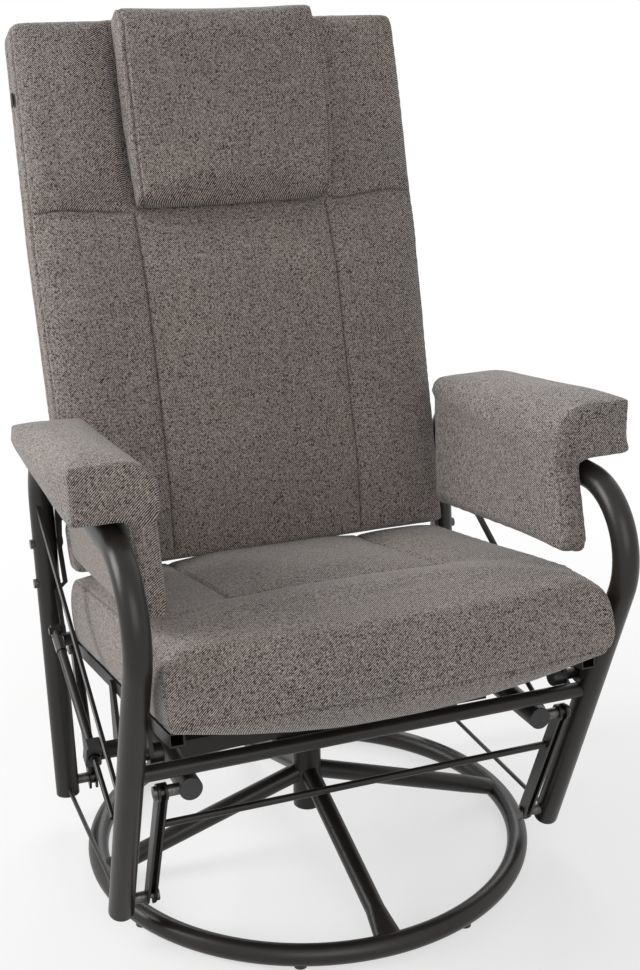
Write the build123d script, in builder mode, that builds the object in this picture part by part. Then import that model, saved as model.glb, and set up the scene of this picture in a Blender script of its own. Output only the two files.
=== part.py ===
from build123d import *
import os
from math import asin, atan2, cos, degrees, hypot, radians, sin, sqrt, tan

# Swivel glider recliner: ring base, swivelling carrier, glide links, tube frame and upholstery.
#
# Millimetres. +Z is up, the chair faces -Y, +X is on the right of a front view. The origin is on
# the floor under the middle of the bounding box, and the swivel axis stands at SWIVEL_Y. Places
# in a side view are (y, z) with y counted from the swivel axis. The chair is the same left and
# right, so most sizes along X are given for one side.

SWIVEL_Y = -17.5
SIDES = {"left": -1, "right": 1}

# ------------------------------------------------------------------ clearances
RUNNING = 0.06  # radial, around a pin that turns
SEATED = 0.3  # between a round or soft piece and what carries it
SIDE_PLAY = 0.5  # beside a link or plate on its pin
CUSHION_PLAY = 4.0  # between the seat cushion and the side frames
BACK_PLAY = 2.5  # between the back at its widest and the side frames

# ------------------------------------------------------------------ floor base
RING_R = 285.0
RING_TUBE_R = 13.5
RING_WALL = 2.0
RING_LIFT = 2.0
FOOT_R = 8.0
FOOT_H = 7.0
FOOT_COUNT = 8
VENT_R = 2.0
SPIDER_R = 12.5
SPIDER_WALL = 2.0
SPIDER_HUB_Z = 110.0
SPIDER_RING_Z = 17.0
FLARE_LENGTH = 52.0
FLARE_HALF_WIDTH = 19.0
FLARE_HALF_HEIGHT = 9.5
HUB_R = 19.0
HUB_LOW_Z = 54.0
HUB_HEIGHT = 96.0
HUB_FLOOR = 5.0
HUB_CHAMFER = 1.5

# ------------------------------------------------------------------ swivel and carrier
SPINDLE_R = 12.5
WASHER_T = 2.0
SLEEVE_HEIGHT = 51.0
PLATE_T = 5.0
PLATE_LENGTH = 190.0
PLATE_WIDTH = 150.0
PLATE_CORNER_R = 20.0
BEAM_Y = 70.0
BEAM_WIDTH = 30.0
BEAM_H = 22.0
BEAM_WALL = 2.0
CARRIER_X = 225.0
CARRIER_R = 14.0
CARRIER_WALL = 2.0
CARRIER_OVERHANG = 5.0  # tube past the front pivot
CARRIER_TAIL = 12.0  # tube past the rear pivot
CAP_T = 3.0
CAP_ROUND = 1.2
PLUG_DEPTH = 14.0
PLUG_PLAY = 0.1

# ------------------------------------------------------------------ glide links
FRONT_PIVOT = (-223.0, 247.0)
REAR_PIVOT = (235.0, 232.0)
FOOT_PIVOT_Z = 60.0
LINK_X = 258.0
LINK_T = 12.0
LINK_HALF = 8.0
LINK_EYE_R = 10.5
LINK_POINT = 21.0
LINK_POINT_R = 3.0
LINK_SHEET = 3.0
LINK_ROD_R = 4.5
LINK_ROD_DROP = 62.0
PIN_R = 4.0
SLACK_R = 6.8  # hole at the feet of the rear links, where the linkage is left open
SPACER_R = 7.0
PIN_HEAD_R = 8.0
PIN_HEAD_T = 3.5

# ------------------------------------------------------------------ side frames
FRAME_X = 294.0
TUBE_R = 16.0
TUBE_WALL = 2.0
ARM_Z = 549.0
FRAME_BEND_R = 87.0
FRONT_KNEE_Y = -338.1
FRONT_LEAN = 22.0
REAR_KNEE_Y = 223.4
REAR_LEAN = 5.7
LEG_END_Z = 44.0
LEG_PLUG_T = 3.0
LEG_PLUG_ROUND = 2.4
CROSS_R = 9.5
CROSS_WALL = 1.5
FRONT_CROSS_Z = 276.0
STRETCHER_R = 3.0
STRETCHER_Z = 54.0
BRACE_OUT = 7.0  # outward of the tube's axis
BRACE_T = 4.0
BRACE_WIDTH = 10.0
BRACE_FRONT_Z = 226.0
BRACE_REAR_Z = 464.0
STOP_BOLT_Z = 350.0
BOLT_HEAD_R = 6.5
BOLT_HEAD_T = 3.5
BOLT_HEAD_SINK = 4.0  # how deep a saddled head reaches round the tube

# ------------------------------------------------------------------ seat
SEAT_Y = -119.0
SEAT_Z = 430.0
SEAT_TILT = 11.0
SEAT_DRAW = 6.0  # how far the side seams are drawn in
SEAT_SIDE = 104.0  # underside at the side seams, below the seam plane
SEAT_SIDE_TOP = 7.0
SEAT_REAR = 308.0
SEAT_REAR_ROUND = 14.0
SEAT_NOSE = 224.0
SEAT_BOW = 30.0
BOW_SPARE = 1.0  # degrees that the bow is swept past the sides before they are trimmed
SEAT_CROWN = 3.0
SEAT_BELLY = 14.0
CHIN_BELLY = 36.0
NOSE_JOIN = 90.0
NOSE_TOP = 1.5  # seam plane to the surface where the nose begins
ROLL_MID = (75.0, -12.0)  # back from the nose, and out of the seam plane
ROLL_TO = (18.0, -24.0)
NOSE_OUT = -60.0
NOSE_SEAM = (13.0, -97.0)
CHIN_BACK = 68.0
SEAM_X = 138.0
SEAM_R = 3.5
RAIL_X = 254.0
RAIL_WIDTH = 18.0
RAIL_H = 16.0
RAIL_WALL = 2.0
RAIL_FRONT = 150.0
RAIL_BITE = 2.0  # how deep the rear cross tube sits in the rails
STRAP_COUNT = 5
STRAP_FIRST = -25.0
STRAP_PITCH = 70.0
STRAP_WIDTH = 40.0
STRAP_T = 2.0
HANGER_T = 5.0
KNOB = (-207.0, 289.0)
KNOB_R = 12.0
KNOB_T = 13.0
KNOB_ROUND = 3.0
LUG_T = 5.0
LUG_IN = 8.5  # inward of the side frame's axis

# ------------------------------------------------------------------ recline lock
HINGE_Z = 405.0
STRUT_OUT = 4.5  # outward of the side frame's axis
STRUT_EYE = (152.0, 300.0)
BLOCK_PIVOT = (-45.0, 216.4)
CYLINDER_R = 6.0
ROD_R = 3.5
STRUT_LENGTH = 317.0
CYLINDER_PAST_BLOCK = 12.0
COLLAR_R = 7.3
COLLAR_AT = 14.0
COLLAR_LENGTH = 26.0
EYE_R = 8.0
EYE_PIN_R = 3.0
EYE_HEAD_R = 5.0
EYE_HEAD_T = 2.0
BLOCK_WIDTH = 20.0
BLOCK_T = 16.0
BLOCK_H = 36.0
BLOCK_ROUND = 3.0
BLOCK_SLACK = 1.6
BOSS_R = 6.0
BOSS_LENGTH = 15.0
STUB_R = 11.0
LOCK_HANGER_R = 16.0

# ------------------------------------------------------------------ back
BACK_Y = 140.0
BACK_Z = 385.0
BACK_TILT = 15.3
BACK_FOOT = -3.0
BACK_HEIGHT = 709.0
BACK_FOOT_PLAY = 4.0  # between the foot of the back and the cranks
BACK_WIDE_AT = 420.0
BACK_TOP_DRAW = 5.5  # how far the top is drawn in from the widest place
BACK_CORNER_R = 16.0
BACK_EDGE_R = 14.0
BACK_FRONT_T = 31.0
BACK_REAR_T = 31.0
BACK_SIDE_ROUND = 12.0
BACK_SEAM_X = 135.0
BACK_SEAM_OUT = 32.0
BACK_SIDE_CROWN = 28.0
BACK_MID_CROWN = 42.0
FOOT_OUT = 12.0  # front of the cushion at its foot, the seam across, the upper panels and the top
WAIST_OUT = 12.0
UPPER_OUT = 21.0
TOP_OUT = 9.0
BACK_REAR_CROWN = 8.0
CROSS_SEAM_U = 462.0
PILLOW_HALF = 146.0
PILLOW_FRONT_HALF = 133.0
PILLOW_GAP = 2.0  # above the seam across the back
PILLOW_RISE = 15.0  # above the top of the back
PILLOW_T = 47.0
PILLOW_CROWN = 5.0
PILLOW_TOP_R = 20.0
PILLOW_TOP_FLAT = 15.0
PILLOW_SHOULDER = 50.0
PILLOW_FULLEST = 120.0
PILLOW_CHIN = 30.0
PILLOW_CHIN_BACK = 7.0
PILLOW_BOXING = 4.0
HOOP_X = 234.0
HOOP_R = 8.0
HOOP_WALL = 1.5
HOOP_TOP = 655.0
HOOP_BEND_R = 60.0
BACK_CROSS_U = 75.0
CRANK_T = 5.0
CRANK_WIDTH = 11.0
HINGE_EYE_R = 12.0
CRANK_OUT = -6.0  # lower half of the crank, from the side frame's axis
JOG_FROM = 58.0
JOG_LENGTH = 10.0
TAG_DEPTH = 6.0
TAG_DROP = 91.0  # below the top of the back
TAG_WIDTH = 15.0
TAG_H = 17.0
TAG_T = 1.4

# ------------------------------------------------------------------ arms
BOARD_T = 8.5
BOARD_FRONT = -190.0
BOARD_REAR = 115.0
ARM_BOLTS = (-140.0, 70.0)
ARM_BOLT_R = 3.0
ARM_BOLT_BITE = 5.0
PAD_IN = 56.0  # inward and outward of the side frame's axis
PAD_OUT = 51.0
PAD_FRONT = -222.0
PAD_FRONT_T = 74.0
PAD_FRONT_R = 26.0
PAD_FRONT_IN_R = 42.0  # the inner top edge is softer than the outer one
PAD_FRONT_LOW_R = 18.0
PAD_REAR = 138.0
PAD_REAR_T = 27.0  # the pad's top falls to the rear
PAD_REAR_R = 18.0
PAD_REAR_IN_R = 22.0
PAD_REAR_LOW_R = 6.0
PAD_END_R = 8.0
FLAP_T = 36.0
FLAP_PLAY = 1.0
FLAP_TOP_FRONT = -214.0
FLAP_LOW_FRONT = (-247.0, 464.0)
FLAP_LOW_MID = (70.0, 417.0)
FLAP_LOW_REAR = (124.0, 410.0)
FLAP_TOP_REAR = 132.0
FLAP_CORNER_R = 16.0


def front_leg_y(z):
    """Y of the front leg's axis at height z."""
    return FRONT_KNEE_Y + (ARM_Z - z) * tan(radians(FRONT_LEAN))


def rear_leg_y(z):
    """Y of the rear leg's axis at height z."""
    return REAR_KNEE_Y - (ARM_Z - z) * tan(radians(REAR_LEAN))


def side_plane(x):
    """Plane across X, drawn in (y from the swivel axis, z)."""
    return Plane(origin=(x, SWIVEL_Y, 0), x_dir=(0, 1, 0), z_dir=(1, 0, 0))


def level(z):
    """Horizontal plane at height z, drawn in (x, y from the swivel axis)."""
    return Plane(origin=(0, SWIVEL_Y, z), x_dir=(1, 0, 0), z_dir=(0, 0, 1))


class Tilted:
    """A cushion's own frame in side view: rearward along its tilt, and out square to that."""

    def __init__(self, y, z, tilt):
        self.start = Vector(0, y, z)
        self.rearward = Vector(0, cos(radians(tilt)), -sin(radians(tilt)))
        self.outward = Vector(0, sin(radians(tilt)), cos(radians(tilt)))

    def point(self, rear, out, x=0.0):
        """The point in the chair's frame, with y counted from the swivel axis."""
        return self.start + self.rearward * rear + self.outward * out + Vector(x, 0, 0)

    def place(self, rear, out):
        """The point as (y, z)."""
        there = self.point(rear, out)
        return (there.Y, there.Z)

    def side(self, x):
        """Plane across X, drawn in (rear, out)."""
        origin = self.point(0, 0, x) + Vector(0, SWIVEL_Y, 0)
        return Plane(origin=origin, x_dir=self.rearward, z_dir=(1, 0, 0))

    def across(self, rear):
        """Plane that faces forward, drawn in (x, out)."""
        origin = self.point(rear, 0) + Vector(0, SWIVEL_Y, 0)
        return Plane(origin=origin, x_dir=(1, 0, 0), z_dir=-self.rearward)

    def plan(self, out):
        """Plane that faces out, drawn in (x, rear)."""
        origin = self.point(0, out) + Vector(0, SWIVEL_Y, 0)
        return Plane(origin=origin, x_dir=(1, 0, 0), z_dir=self.outward)


# ------------------------------------------------------------------ worked out from the sizes above
SEAT = Tilted(SEAT_Y, SEAT_Z, SEAT_TILT)
BACK = Tilted(BACK_Y, BACK_Z, BACK_TILT)
SWIVEL_AXIS = Axis((0, SWIVEL_Y, 0), (0, 0, 1))
RING_Z = RING_LIFT + RING_TUBE_R
HUB_TOP_Z = HUB_LOW_Z + HUB_HEIGHT
SLEEVE_Z = HUB_TOP_Z + WASHER_T + RUNNING
PLATE_Z = SLEEVE_Z + SLEEVE_HEIGHT
BEAM_Z = PLATE_Z + PLATE_T
LINK_IN = LINK_X - LINK_T / 2
LINK_OUT = LINK_X + LINK_T / 2
FRONT_FOOT = (front_leg_y(FOOT_PIVOT_Z), FOOT_PIVOT_Z)
REAR_FOOT = (rear_leg_y(FOOT_PIVOT_Z), FOOT_PIVOT_Z)
FRAME_INNER = FRAME_X - TUBE_R
FRAME_OUTER = FRAME_X + TUBE_R
STOP_BOLT = (rear_leg_y(STOP_BOLT_Z), STOP_BOLT_Z)
HINGE = (rear_leg_y(HINGE_Z), HINGE_Z)
SEAT_HALF = FRAME_INNER - CUSHION_PLAY
SEAT_EDGE = SEAT_HALF - SEAT_DRAW
RAIL_INNER = RAIL_X - RAIL_WIDTH / 2
RAIL_OUTER = RAIL_X + RAIL_WIDTH / 2
HANGER_OUTER = RAIL_OUTER + HANGER_T
BACK_HALF = FRAME_INNER - BACK_PLAY
PLATE_OUTER = FRAME_INNER - SIDE_PLAY
PLATE_INNER = PLATE_OUTER - CRANK_T
BACK_FOOT_HALF = PLATE_INNER - BACK_FOOT_PLAY
BACK_TOP_HALF = BACK_HALF - BACK_TOP_DRAW
CRANK_LOW_X = FRAME_X + CRANK_OUT
STRUT_X = FRAME_X + STRUT_OUT
BLOCK_INNER = STRUT_X - BLOCK_WIDTH / 2
LUG_X = FRAME_X - LUG_IN
BOARD_Z = ARM_Z + TUBE_R
PAD_Z = BOARD_Z + BOARD_T
STRUT_RUN = Vector(0, BLOCK_PIVOT[0] - STRUT_EYE[0], BLOCK_PIVOT[1] - STRUT_EYE[1])
HOOP_REAR = BACK_FRONT_T + SEATED + HOOP_R
PILLOW_LOW = CROSS_SEAM_U + PILLOW_GAP
PILLOW_HIGH = BACK_HEIGHT + PILLOW_RISE
TAG_U = BACK_HEIGHT - TAG_DROP
BACK_CROSS_REAR = BACK_FRONT_T + SEATED + CROSS_R


def belly_radius(belly):
    """Radius of the underside's arc across the seat, for a belly of this depth."""
    return (SEAT_EDGE**2 + belly**2) / (2 * belly)


def underside(x):
    """Height of the seat's underside at x, out of the seam plane."""
    radius = belly_radius(SEAT_BELLY)
    return radius - SEAT_SIDE - SEAT_BELLY - sqrt(radius**2 - x**2)


RAIL_TOP = underside(RAIL_INNER) - SEATED - STRAP_T


def rear_cross_place():
    """(y, z) of the rear cross tube, on the rear legs' axes and let into the top of the rails."""
    out = RAIL_TOP + CROSS_R - RAIL_BITE
    slope = tan(radians(REAR_LEAN))
    start = REAR_KNEE_Y - ARM_Z * slope - SEAT_Y
    rise = SEAT.outward.Z + slope * SEAT.outward.Y
    z = (out + SEAT_Z * SEAT.outward.Z - start * SEAT.outward.Y) / rise
    return (rear_leg_y(z), z)


REAR_CROSS = rear_cross_place()
FRONT_CROSS = (front_leg_y(FRONT_CROSS_Z), FRONT_CROSS_Z)


# ------------------------------------------------------------------ shared shapes
def rod(place, radius, x_from, x_to, mode=Mode.ADD):
    """Round bar, or a hole, along X at (y, z), in the part block around the call."""
    with BuildSketch(side_plane(x_from)) as disc:
        with Locations(place):
            Circle(radius)
    extrude(disc.sketch, amount=x_to - x_from, mode=mode)


def swept(points, plane, radius, bend=0.0, square=False):
    """Bar along points drawn on a plane, round or square, its corners bent to a radius."""
    with BuildPart() as bar:
        with BuildLine(plane) as path:
            if bend:
                FilletPolyline(*points, radius=bend)
            else:
                Polyline(*points)
        with BuildSketch(Plane(origin=path.line @ 0, x_dir=plane.z_dir, z_dir=path.line % 0)):
            if square:
                Rectangle(2 * radius, 2 * radius)
            else:
                Circle(radius)
        sweep()
    return bar.part


def ring_bar():
    """The ring as a full bar."""
    with BuildPart() as bar:
        with BuildSketch(Plane(origin=(0, SWIVEL_Y, 0), x_dir=(1, 0, 0), z_dir=(0, -1, 0))):
            with Locations((RING_R, RING_Z)):
                Circle(RING_TUBE_R)
        revolve(axis=SWIVEL_AXIS)
    return bar.part


def frame_bar(side, radius):
    """The side frame as a full bar of the given radius."""
    points = [
        (front_leg_y(LEG_END_Z), LEG_END_Z),
        (FRONT_KNEE_Y, ARM_Z),
        (REAR_KNEE_Y, ARM_Z),
        (rear_leg_y(LEG_END_Z), LEG_END_Z),
    ]
    return swept(points, side_plane(side * FRAME_X), radius, FRAME_BEND_R)


def carrier_ends():
    """Ends of the carrier tubes as (y, z), past the pivots on the same line."""
    run = Vector(REAR_PIVOT[0] - FRONT_PIVOT[0], REAR_PIVOT[1] - FRONT_PIVOT[1]).normalized()
    front = Vector(*FRONT_PIVOT) - run * CARRIER_OVERHANG
    rear = Vector(*REAR_PIVOT) + run * CARRIER_TAIL
    return (front.X, front.Y), (rear.X, rear.Y)


def carrier_bar(side, radius):
    """The carrier tube as a full bar of the given radius."""
    return swept(carrier_ends(), side_plane(side * CARRIER_X), radius)


RING_BAR = ring_bar()
FRAME_BARS = {name: frame_bar(side, TUBE_R) for name, side in SIDES.items()}
CARRIER_BARS = {name: carrier_bar(side, CARRIER_R) for name, side in SIDES.items()}


# ------------------------------------------------------------------ floor base
def base_ring():
    """Ring of round tube, with a vent hole underneath as welded tube has."""
    with BuildPart() as ring:
        with BuildSketch(Plane(origin=(0, SWIVEL_Y, 0), x_dir=(1, 0, 0), z_dir=(0, -1, 0))):
            with Locations((RING_R, RING_Z)):
                Circle(RING_TUBE_R)
                Circle(RING_TUBE_R - RING_WALL, mode=Mode.SUBTRACT)
        revolve(axis=SWIVEL_AXIS)
        with BuildSketch(level(0)):
            with PolarLocations(RING_R, 1, start_angle=360 / FOOT_COUNT):
                Circle(VENT_R)
        extrude(amount=RING_Z, mode=Mode.SUBTRACT)
    return ring


def floor_feet():
    """Round feet, saddled to the underside of the ring."""
    with BuildPart() as feet:
        with BuildSketch(level(0)):
            with PolarLocations(RING_R, FOOT_COUNT, start_angle=180 / FOOT_COUNT):
                Circle(FOOT_R)
        extrude(amount=FOOT_H)
        add(RING_BAR, mode=Mode.SUBTRACT)
    return feet


def spider_arm(angle):
    """Tube from the hub down to the ring, flattened where it is welded to the ring."""
    turn = radians(angle)
    radial = Vector(cos(turn), sin(turn), 0)
    across = Vector(-sin(turn), cos(turn), 0)
    hub = Vector(0, SWIVEL_Y, SPIDER_HUB_Z)
    end = Vector(0, SWIVEL_Y, SPIDER_RING_Z) + radial * RING_R
    run = (end - hub).normalized()
    flare = end - run * FLARE_LENGTH
    with BuildPart() as arm:
        with BuildSketch(Plane(origin=hub, x_dir=across, z_dir=run)):
            Circle(SPIDER_R)
            Circle(SPIDER_R - SPIDER_WALL, mode=Mode.SUBTRACT)
        extrude(amount=(flare - hub).length)
        with BuildSketch(Plane(origin=flare, x_dir=across, z_dir=run)):
            Circle(SPIDER_R)
        with BuildSketch(Plane(origin=end, x_dir=across, z_dir=run)):
            Ellipse(FLARE_HALF_WIDTH, FLARE_HALF_HEIGHT)
        loft()
        with BuildSketch(level(0)):
            Circle(HUB_R)
        extrude(amount=HUB_TOP_Z, mode=Mode.SUBTRACT)
        add(RING_BAR, mode=Mode.SUBTRACT)
    return arm


def hub_socket():
    """Hub tube with a closed foot, bored for the spindle."""
    with BuildPart() as hub:
        with BuildSketch(level(HUB_LOW_Z)):
            Circle(HUB_R)
        extrude(amount=HUB_HEIGHT)
        chamfer(hub.edges().group_by(Axis.Z)[0], length=HUB_CHAMFER)
        with BuildSketch(level(HUB_LOW_Z + HUB_FLOOR)):
            Circle(SPINDLE_R + RUNNING)
        extrude(amount=HUB_HEIGHT, mode=Mode.SUBTRACT)
    return hub


def thrust_washer():
    with BuildPart() as washer:
        with BuildSketch(level(HUB_TOP_Z)):
            Circle(HUB_R)
            Circle(SPINDLE_R + RUNNING, mode=Mode.SUBTRACT)
        extrude(amount=WASHER_T)
    return washer


# ------------------------------------------------------------------ swivel and carrier
def swivel_post():
    """Spindle that turns in the hub, and the sleeve above it that carries the plate."""
    spindle_z = HUB_LOW_Z + HUB_FLOOR + SIDE_PLAY
    with BuildPart() as post:
        with BuildSketch(level(spindle_z)):
            Circle(SPINDLE_R)
        extrude(amount=SLEEVE_Z - spindle_z)
        chamfer(post.edges().group_by(Axis.Z)[0], length=HUB_CHAMFER)
        with BuildSketch(level(SLEEVE_Z)):
            Circle(HUB_R)
        extrude(amount=SLEEVE_HEIGHT)
    return post


def carrier_plate():
    with BuildPart() as plate:
        with BuildSketch(level(PLATE_Z)):
            RectangleRounded(PLATE_WIDTH, PLATE_LENGTH, PLATE_CORNER_R)
        extrude(amount=PLATE_T)
    return plate


def carrier_beam(y):
    """Square tube across the plate, its ends cut to cradle the carrier tubes."""
    with BuildPart() as beam:
        with BuildSketch(level(BEAM_Z)):
            with Locations((0, y)):
                Rectangle(2 * CARRIER_X, BEAM_WIDTH)
        extrude(amount=BEAM_H)
        for bar in CARRIER_BARS.values():
            add(bar, mode=Mode.SUBTRACT)
        with BuildSketch(level(BEAM_Z + BEAM_WALL)):
            with Locations((0, y)):
                Rectangle(2 * CARRIER_X, BEAM_WIDTH - 2 * BEAM_WALL)
        extrude(amount=BEAM_H - 2 * BEAM_WALL, mode=Mode.SUBTRACT)
    return beam


def carrier_tube(side):
    with BuildPart() as tube:
        add(carrier_bar(side, CARRIER_R))
        add(carrier_bar(side, CARRIER_R - CARRIER_WALL), mode=Mode.SUBTRACT)
    return tube


def carrier_caps():
    """Caps with plugs in both ends of both carrier tubes."""
    front, rear = carrier_ends()
    run = Vector(0, rear[0] - front[0], rear[1] - front[1]).normalized()
    with BuildPart() as caps:
        for side in SIDES.values():
            for place, out in ((front, -run), (rear, run)):
                end = Vector(side * CARRIER_X, SWIVEL_Y + place[0], place[1])
                with BuildSketch(Plane(origin=end, x_dir=(1, 0, 0), z_dir=out)):
                    Circle(CARRIER_R)
                extrude(amount=CAP_T)
                rim = caps.edges(Select.LAST).filter_by(GeomType.CIRCLE).sort_by(Axis(end, out))[-1]
                fillet(rim, radius=CAP_ROUND)
                with BuildSketch(Plane(origin=end, x_dir=(1, 0, 0), z_dir=-out)):
                    Circle(CARRIER_R - CARRIER_WALL - PLUG_PLAY)
                extrude(amount=PLUG_DEPTH)
    return caps


def top_pins():
    """Pins from the carrier tubes out through the tops of the links."""
    with BuildPart() as pins:
        for side in SIDES.values():
            for place in (FRONT_PIVOT, REAR_PIVOT):
                rod(place, SPACER_R, side * CARRIER_X, side * (LINK_IN - SIDE_PLAY))
                rod(place, PIN_R, side * (LINK_IN - SIDE_PLAY), side * (LINK_OUT + SIDE_PLAY))
                head = LINK_OUT + SIDE_PLAY
                rod(place, PIN_HEAD_R, side * head, side * (head + PIN_HEAD_T))
        for bar in CARRIER_BARS.values():
            add(bar, mode=Mode.SUBTRACT)
        add(carrier_caps().part, mode=Mode.SUBTRACT)
    return pins


# ------------------------------------------------------------------ glide links
def link(side, top, foot, foot_hole):
    """Pressed channel, open to the front, with a round eye on top and a pointed foot."""
    length = hypot(foot[0] - top[0], foot[1] - top[1])
    down = Vector(0, foot[0] - top[0], foot[1] - top[1]).normalized()
    origin = Vector(side * LINK_IN, SWIVEL_Y + top[0], top[1])
    sheet = Vector(side * LINK_SHEET, 0, 0)
    with BuildPart() as bar:
        with BuildSketch(Plane(origin=origin, x_dir=down, z_dir=(side, 0, 0))):
            Circle(LINK_EYE_R)
            with BuildLine():
                Polyline(
                    (0, -LINK_HALF),
                    (length + PIN_R, -LINK_HALF),
                    (length + LINK_POINT, 0),
                    (length + PIN_R, LINK_HALF),
                    (0, LINK_HALF),
                    close=True,
                )
            make_face()
            with Locations((length, 0)):
                Circle(foot_hole + LINK_SHEET)
        extrude(amount=LINK_T)
        point = bar.edges().filter_by(Axis.X).sort_by(Axis.Z)[0]
        fillet(point, radius=LINK_POINT_R)
        rod(top, PIN_R + RUNNING, side * LINK_IN, side * LINK_OUT, mode=Mode.SUBTRACT)
        rod(foot, foot_hole, side * LINK_IN, side * LINK_OUT, mode=Mode.SUBTRACT)
        with BuildSketch(Plane(origin=origin + sheet, x_dir=down, z_dir=(side, 0, 0))):
            with Locations((length / 2, -side * LINK_SHEET)):
                Rectangle(2 * length, 2 * LINK_HALF)
        extrude(amount=LINK_T - 2 * LINK_SHEET, mode=Mode.SUBTRACT)
    return bar


def link_rod():
    """Rod that joins the two front links."""
    run = Vector(FRONT_FOOT[0] - FRONT_PIVOT[0], FRONT_FOOT[1] - FRONT_PIVOT[1]).normalized()
    there = Vector(*FRONT_PIVOT) + run * LINK_ROD_DROP
    with BuildPart() as bar:
        rod((there.X, there.Y), LINK_ROD_R, -LINK_IN, LINK_IN)
    return bar


# ------------------------------------------------------------------ side frames
def side_frame(name):
    """Bent tube: front leg, arm and rear leg, drilled for its bolts."""
    side = SIDES[name]
    with BuildPart() as frame:
        add(FRAME_BARS[name])
        add(frame_bar(side, TUBE_R - TUBE_WALL), mode=Mode.SUBTRACT)
        for place in (HINGE, STOP_BOLT):
            rod(place, PIN_R + RUNNING, side * FRAME_INNER, side * FRAME_OUTER, mode=Mode.SUBTRACT)
        with BuildSketch(level(ARM_Z - TUBE_R)):
            for y in ARM_BOLTS:
                with Locations((side * FRAME_X, y)):
                    Circle(ARM_BOLT_R + RUNNING)
        extrude(amount=2 * TUBE_R, mode=Mode.SUBTRACT)
    return frame


def leg_end(side, lean, leg_y):
    """Plane across the open end of a leg, facing out of it."""
    down = Vector(0, sin(radians(lean)), -cos(radians(lean)))
    origin = (side * FRAME_X, SWIVEL_Y + leg_y(LEG_END_Z), LEG_END_Z)
    return Plane(origin=origin, x_dir=(1, 0, 0), z_dir=down)


def leg_plugs():
    """Domed plugs in the ends of the four legs."""
    with BuildPart() as plugs:
        for side in SIDES.values():
            for lean, leg_y in ((FRONT_LEAN, front_leg_y), (-REAR_LEAN, rear_leg_y)):
                end = leg_end(side, lean, leg_y)
                with BuildSketch(end):
                    Circle(TUBE_R)
                extrude(amount=LEG_PLUG_T)
                outward = Axis(end.origin, end.z_dir)
                rim = plugs.edges(Select.LAST).filter_by(GeomType.CIRCLE).sort_by(outward)[-1]
                fillet(rim, radius=LEG_PLUG_ROUND)
                with BuildSketch(end):
                    Circle(TUBE_R - TUBE_WALL - PLUG_PLAY)
                extrude(amount=-PLUG_DEPTH)
    return plugs


def foot_pins():
    """Pins from the legs in through the feet of the links."""
    head = LINK_IN - SIDE_PLAY
    with BuildPart() as pins:
        for side in SIDES.values():
            for place in (FRONT_FOOT, REAR_FOOT):
                rod(place, SPACER_R, side * FRAME_X, side * (LINK_OUT + SIDE_PLAY))
                rod(place, PIN_R, side * (LINK_OUT + SIDE_PLAY), side * head)
                rod(place, PIN_HEAD_R, side * head, side * (head - PIN_HEAD_T))
        for bar in FRAME_BARS.values():
            add(bar, mode=Mode.SUBTRACT)
    return pins


def cross_tube(place):
    """Tube between the side frames, its ends cut to fit the legs."""
    with BuildPart() as tube:
        rod(place, CROSS_R, -FRAME_X, FRAME_X)
        for bar in FRAME_BARS.values():
            add(bar, mode=Mode.SUBTRACT)
        rod(place, CROSS_R - CROSS_WALL, -FRAME_X, FRAME_X, mode=Mode.SUBTRACT)
    return tube


def stretcher(name):
    """Thin rod low down from leg to leg on one side."""
    ends = [(front_leg_y(STRETCHER_Z), STRETCHER_Z), (rear_leg_y(STRETCHER_Z), STRETCHER_Z)]
    with BuildPart() as bar:
        add(swept(ends, side_plane(SIDES[name] * FRAME_X), STRETCHER_R))
        add(FRAME_BARS[name], mode=Mode.SUBTRACT)
    return bar


def side_brace(name):
    """Flat bar rising rearward from the front leg to the rear leg."""
    side = SIDES[name]
    low = Vector(front_leg_y(BRACE_FRONT_Z), BRACE_FRONT_Z)
    high = Vector(rear_leg_y(BRACE_REAR_Z), BRACE_REAR_Z)
    run = high - low
    middle = (low + high) / 2
    with BuildPart() as brace:
        with BuildSketch(side_plane(side * (FRAME_X + BRACE_OUT) - BRACE_T / 2)):
            with Locations(Location((middle.X, middle.Y, 0), (0, 0, degrees(atan2(run.Y, run.X))))):
                Rectangle(run.length, BRACE_WIDTH)
        extrude(amount=BRACE_T)
        add(FRAME_BARS[name], mode=Mode.SUBTRACT)
    return brace


def leg_bolts():
    """Recline hinge bolts and stop bolts through the rear legs, with heads saddled to the tube."""
    with BuildPart() as bolts:
        for side in SIDES.values():
            for place in (HINGE, STOP_BOLT):
                sunk = FRAME_OUTER - BOLT_HEAD_SINK
                rod(place, BOLT_HEAD_R, side * sunk, side * (FRAME_OUTER + BOLT_HEAD_T))
        for bar in FRAME_BARS.values():
            add(bar, mode=Mode.SUBTRACT)
        for side in SIDES.values():
            rod(STOP_BOLT, PIN_R, side * FRAME_INNER, side * FRAME_OUTER)
            head = PLATE_INNER - SIDE_PLAY
            rod(HINGE, PIN_R, side * head, side * FRAME_OUTER)
            rod(HINGE, BOLT_HEAD_R, side * head, side * (head - EYE_HEAD_T))
    return bolts


# ------------------------------------------------------------------ seat
def seat_section(belly):
    """Section across the seat in (x, out): crown, drawn-in sides and belly."""
    middle = -(SEAT_SIDE + SEAT_SIDE_TOP) / 2
    with BuildSketch(SEAT.across(SEAT_REAR)) as section:
        with BuildLine():
            ThreePointArc((-SEAT_EDGE, -SEAT_SIDE_TOP), (0, SEAT_CROWN), (SEAT_EDGE, -SEAT_SIDE_TOP))
            ThreePointArc((SEAT_EDGE, -SEAT_SIDE_TOP), (SEAT_HALF, middle), (SEAT_EDGE, -SEAT_SIDE))
            ThreePointArc((SEAT_EDGE, -SEAT_SIDE), (0, -SEAT_SIDE - belly), (-SEAT_EDGE, -SEAT_SIDE))
            ThreePointArc((-SEAT_EDGE, -SEAT_SIDE), (-SEAT_HALF, middle), (-SEAT_EDGE, -SEAT_SIDE_TOP))
        make_face()
    return section.sketch


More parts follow.
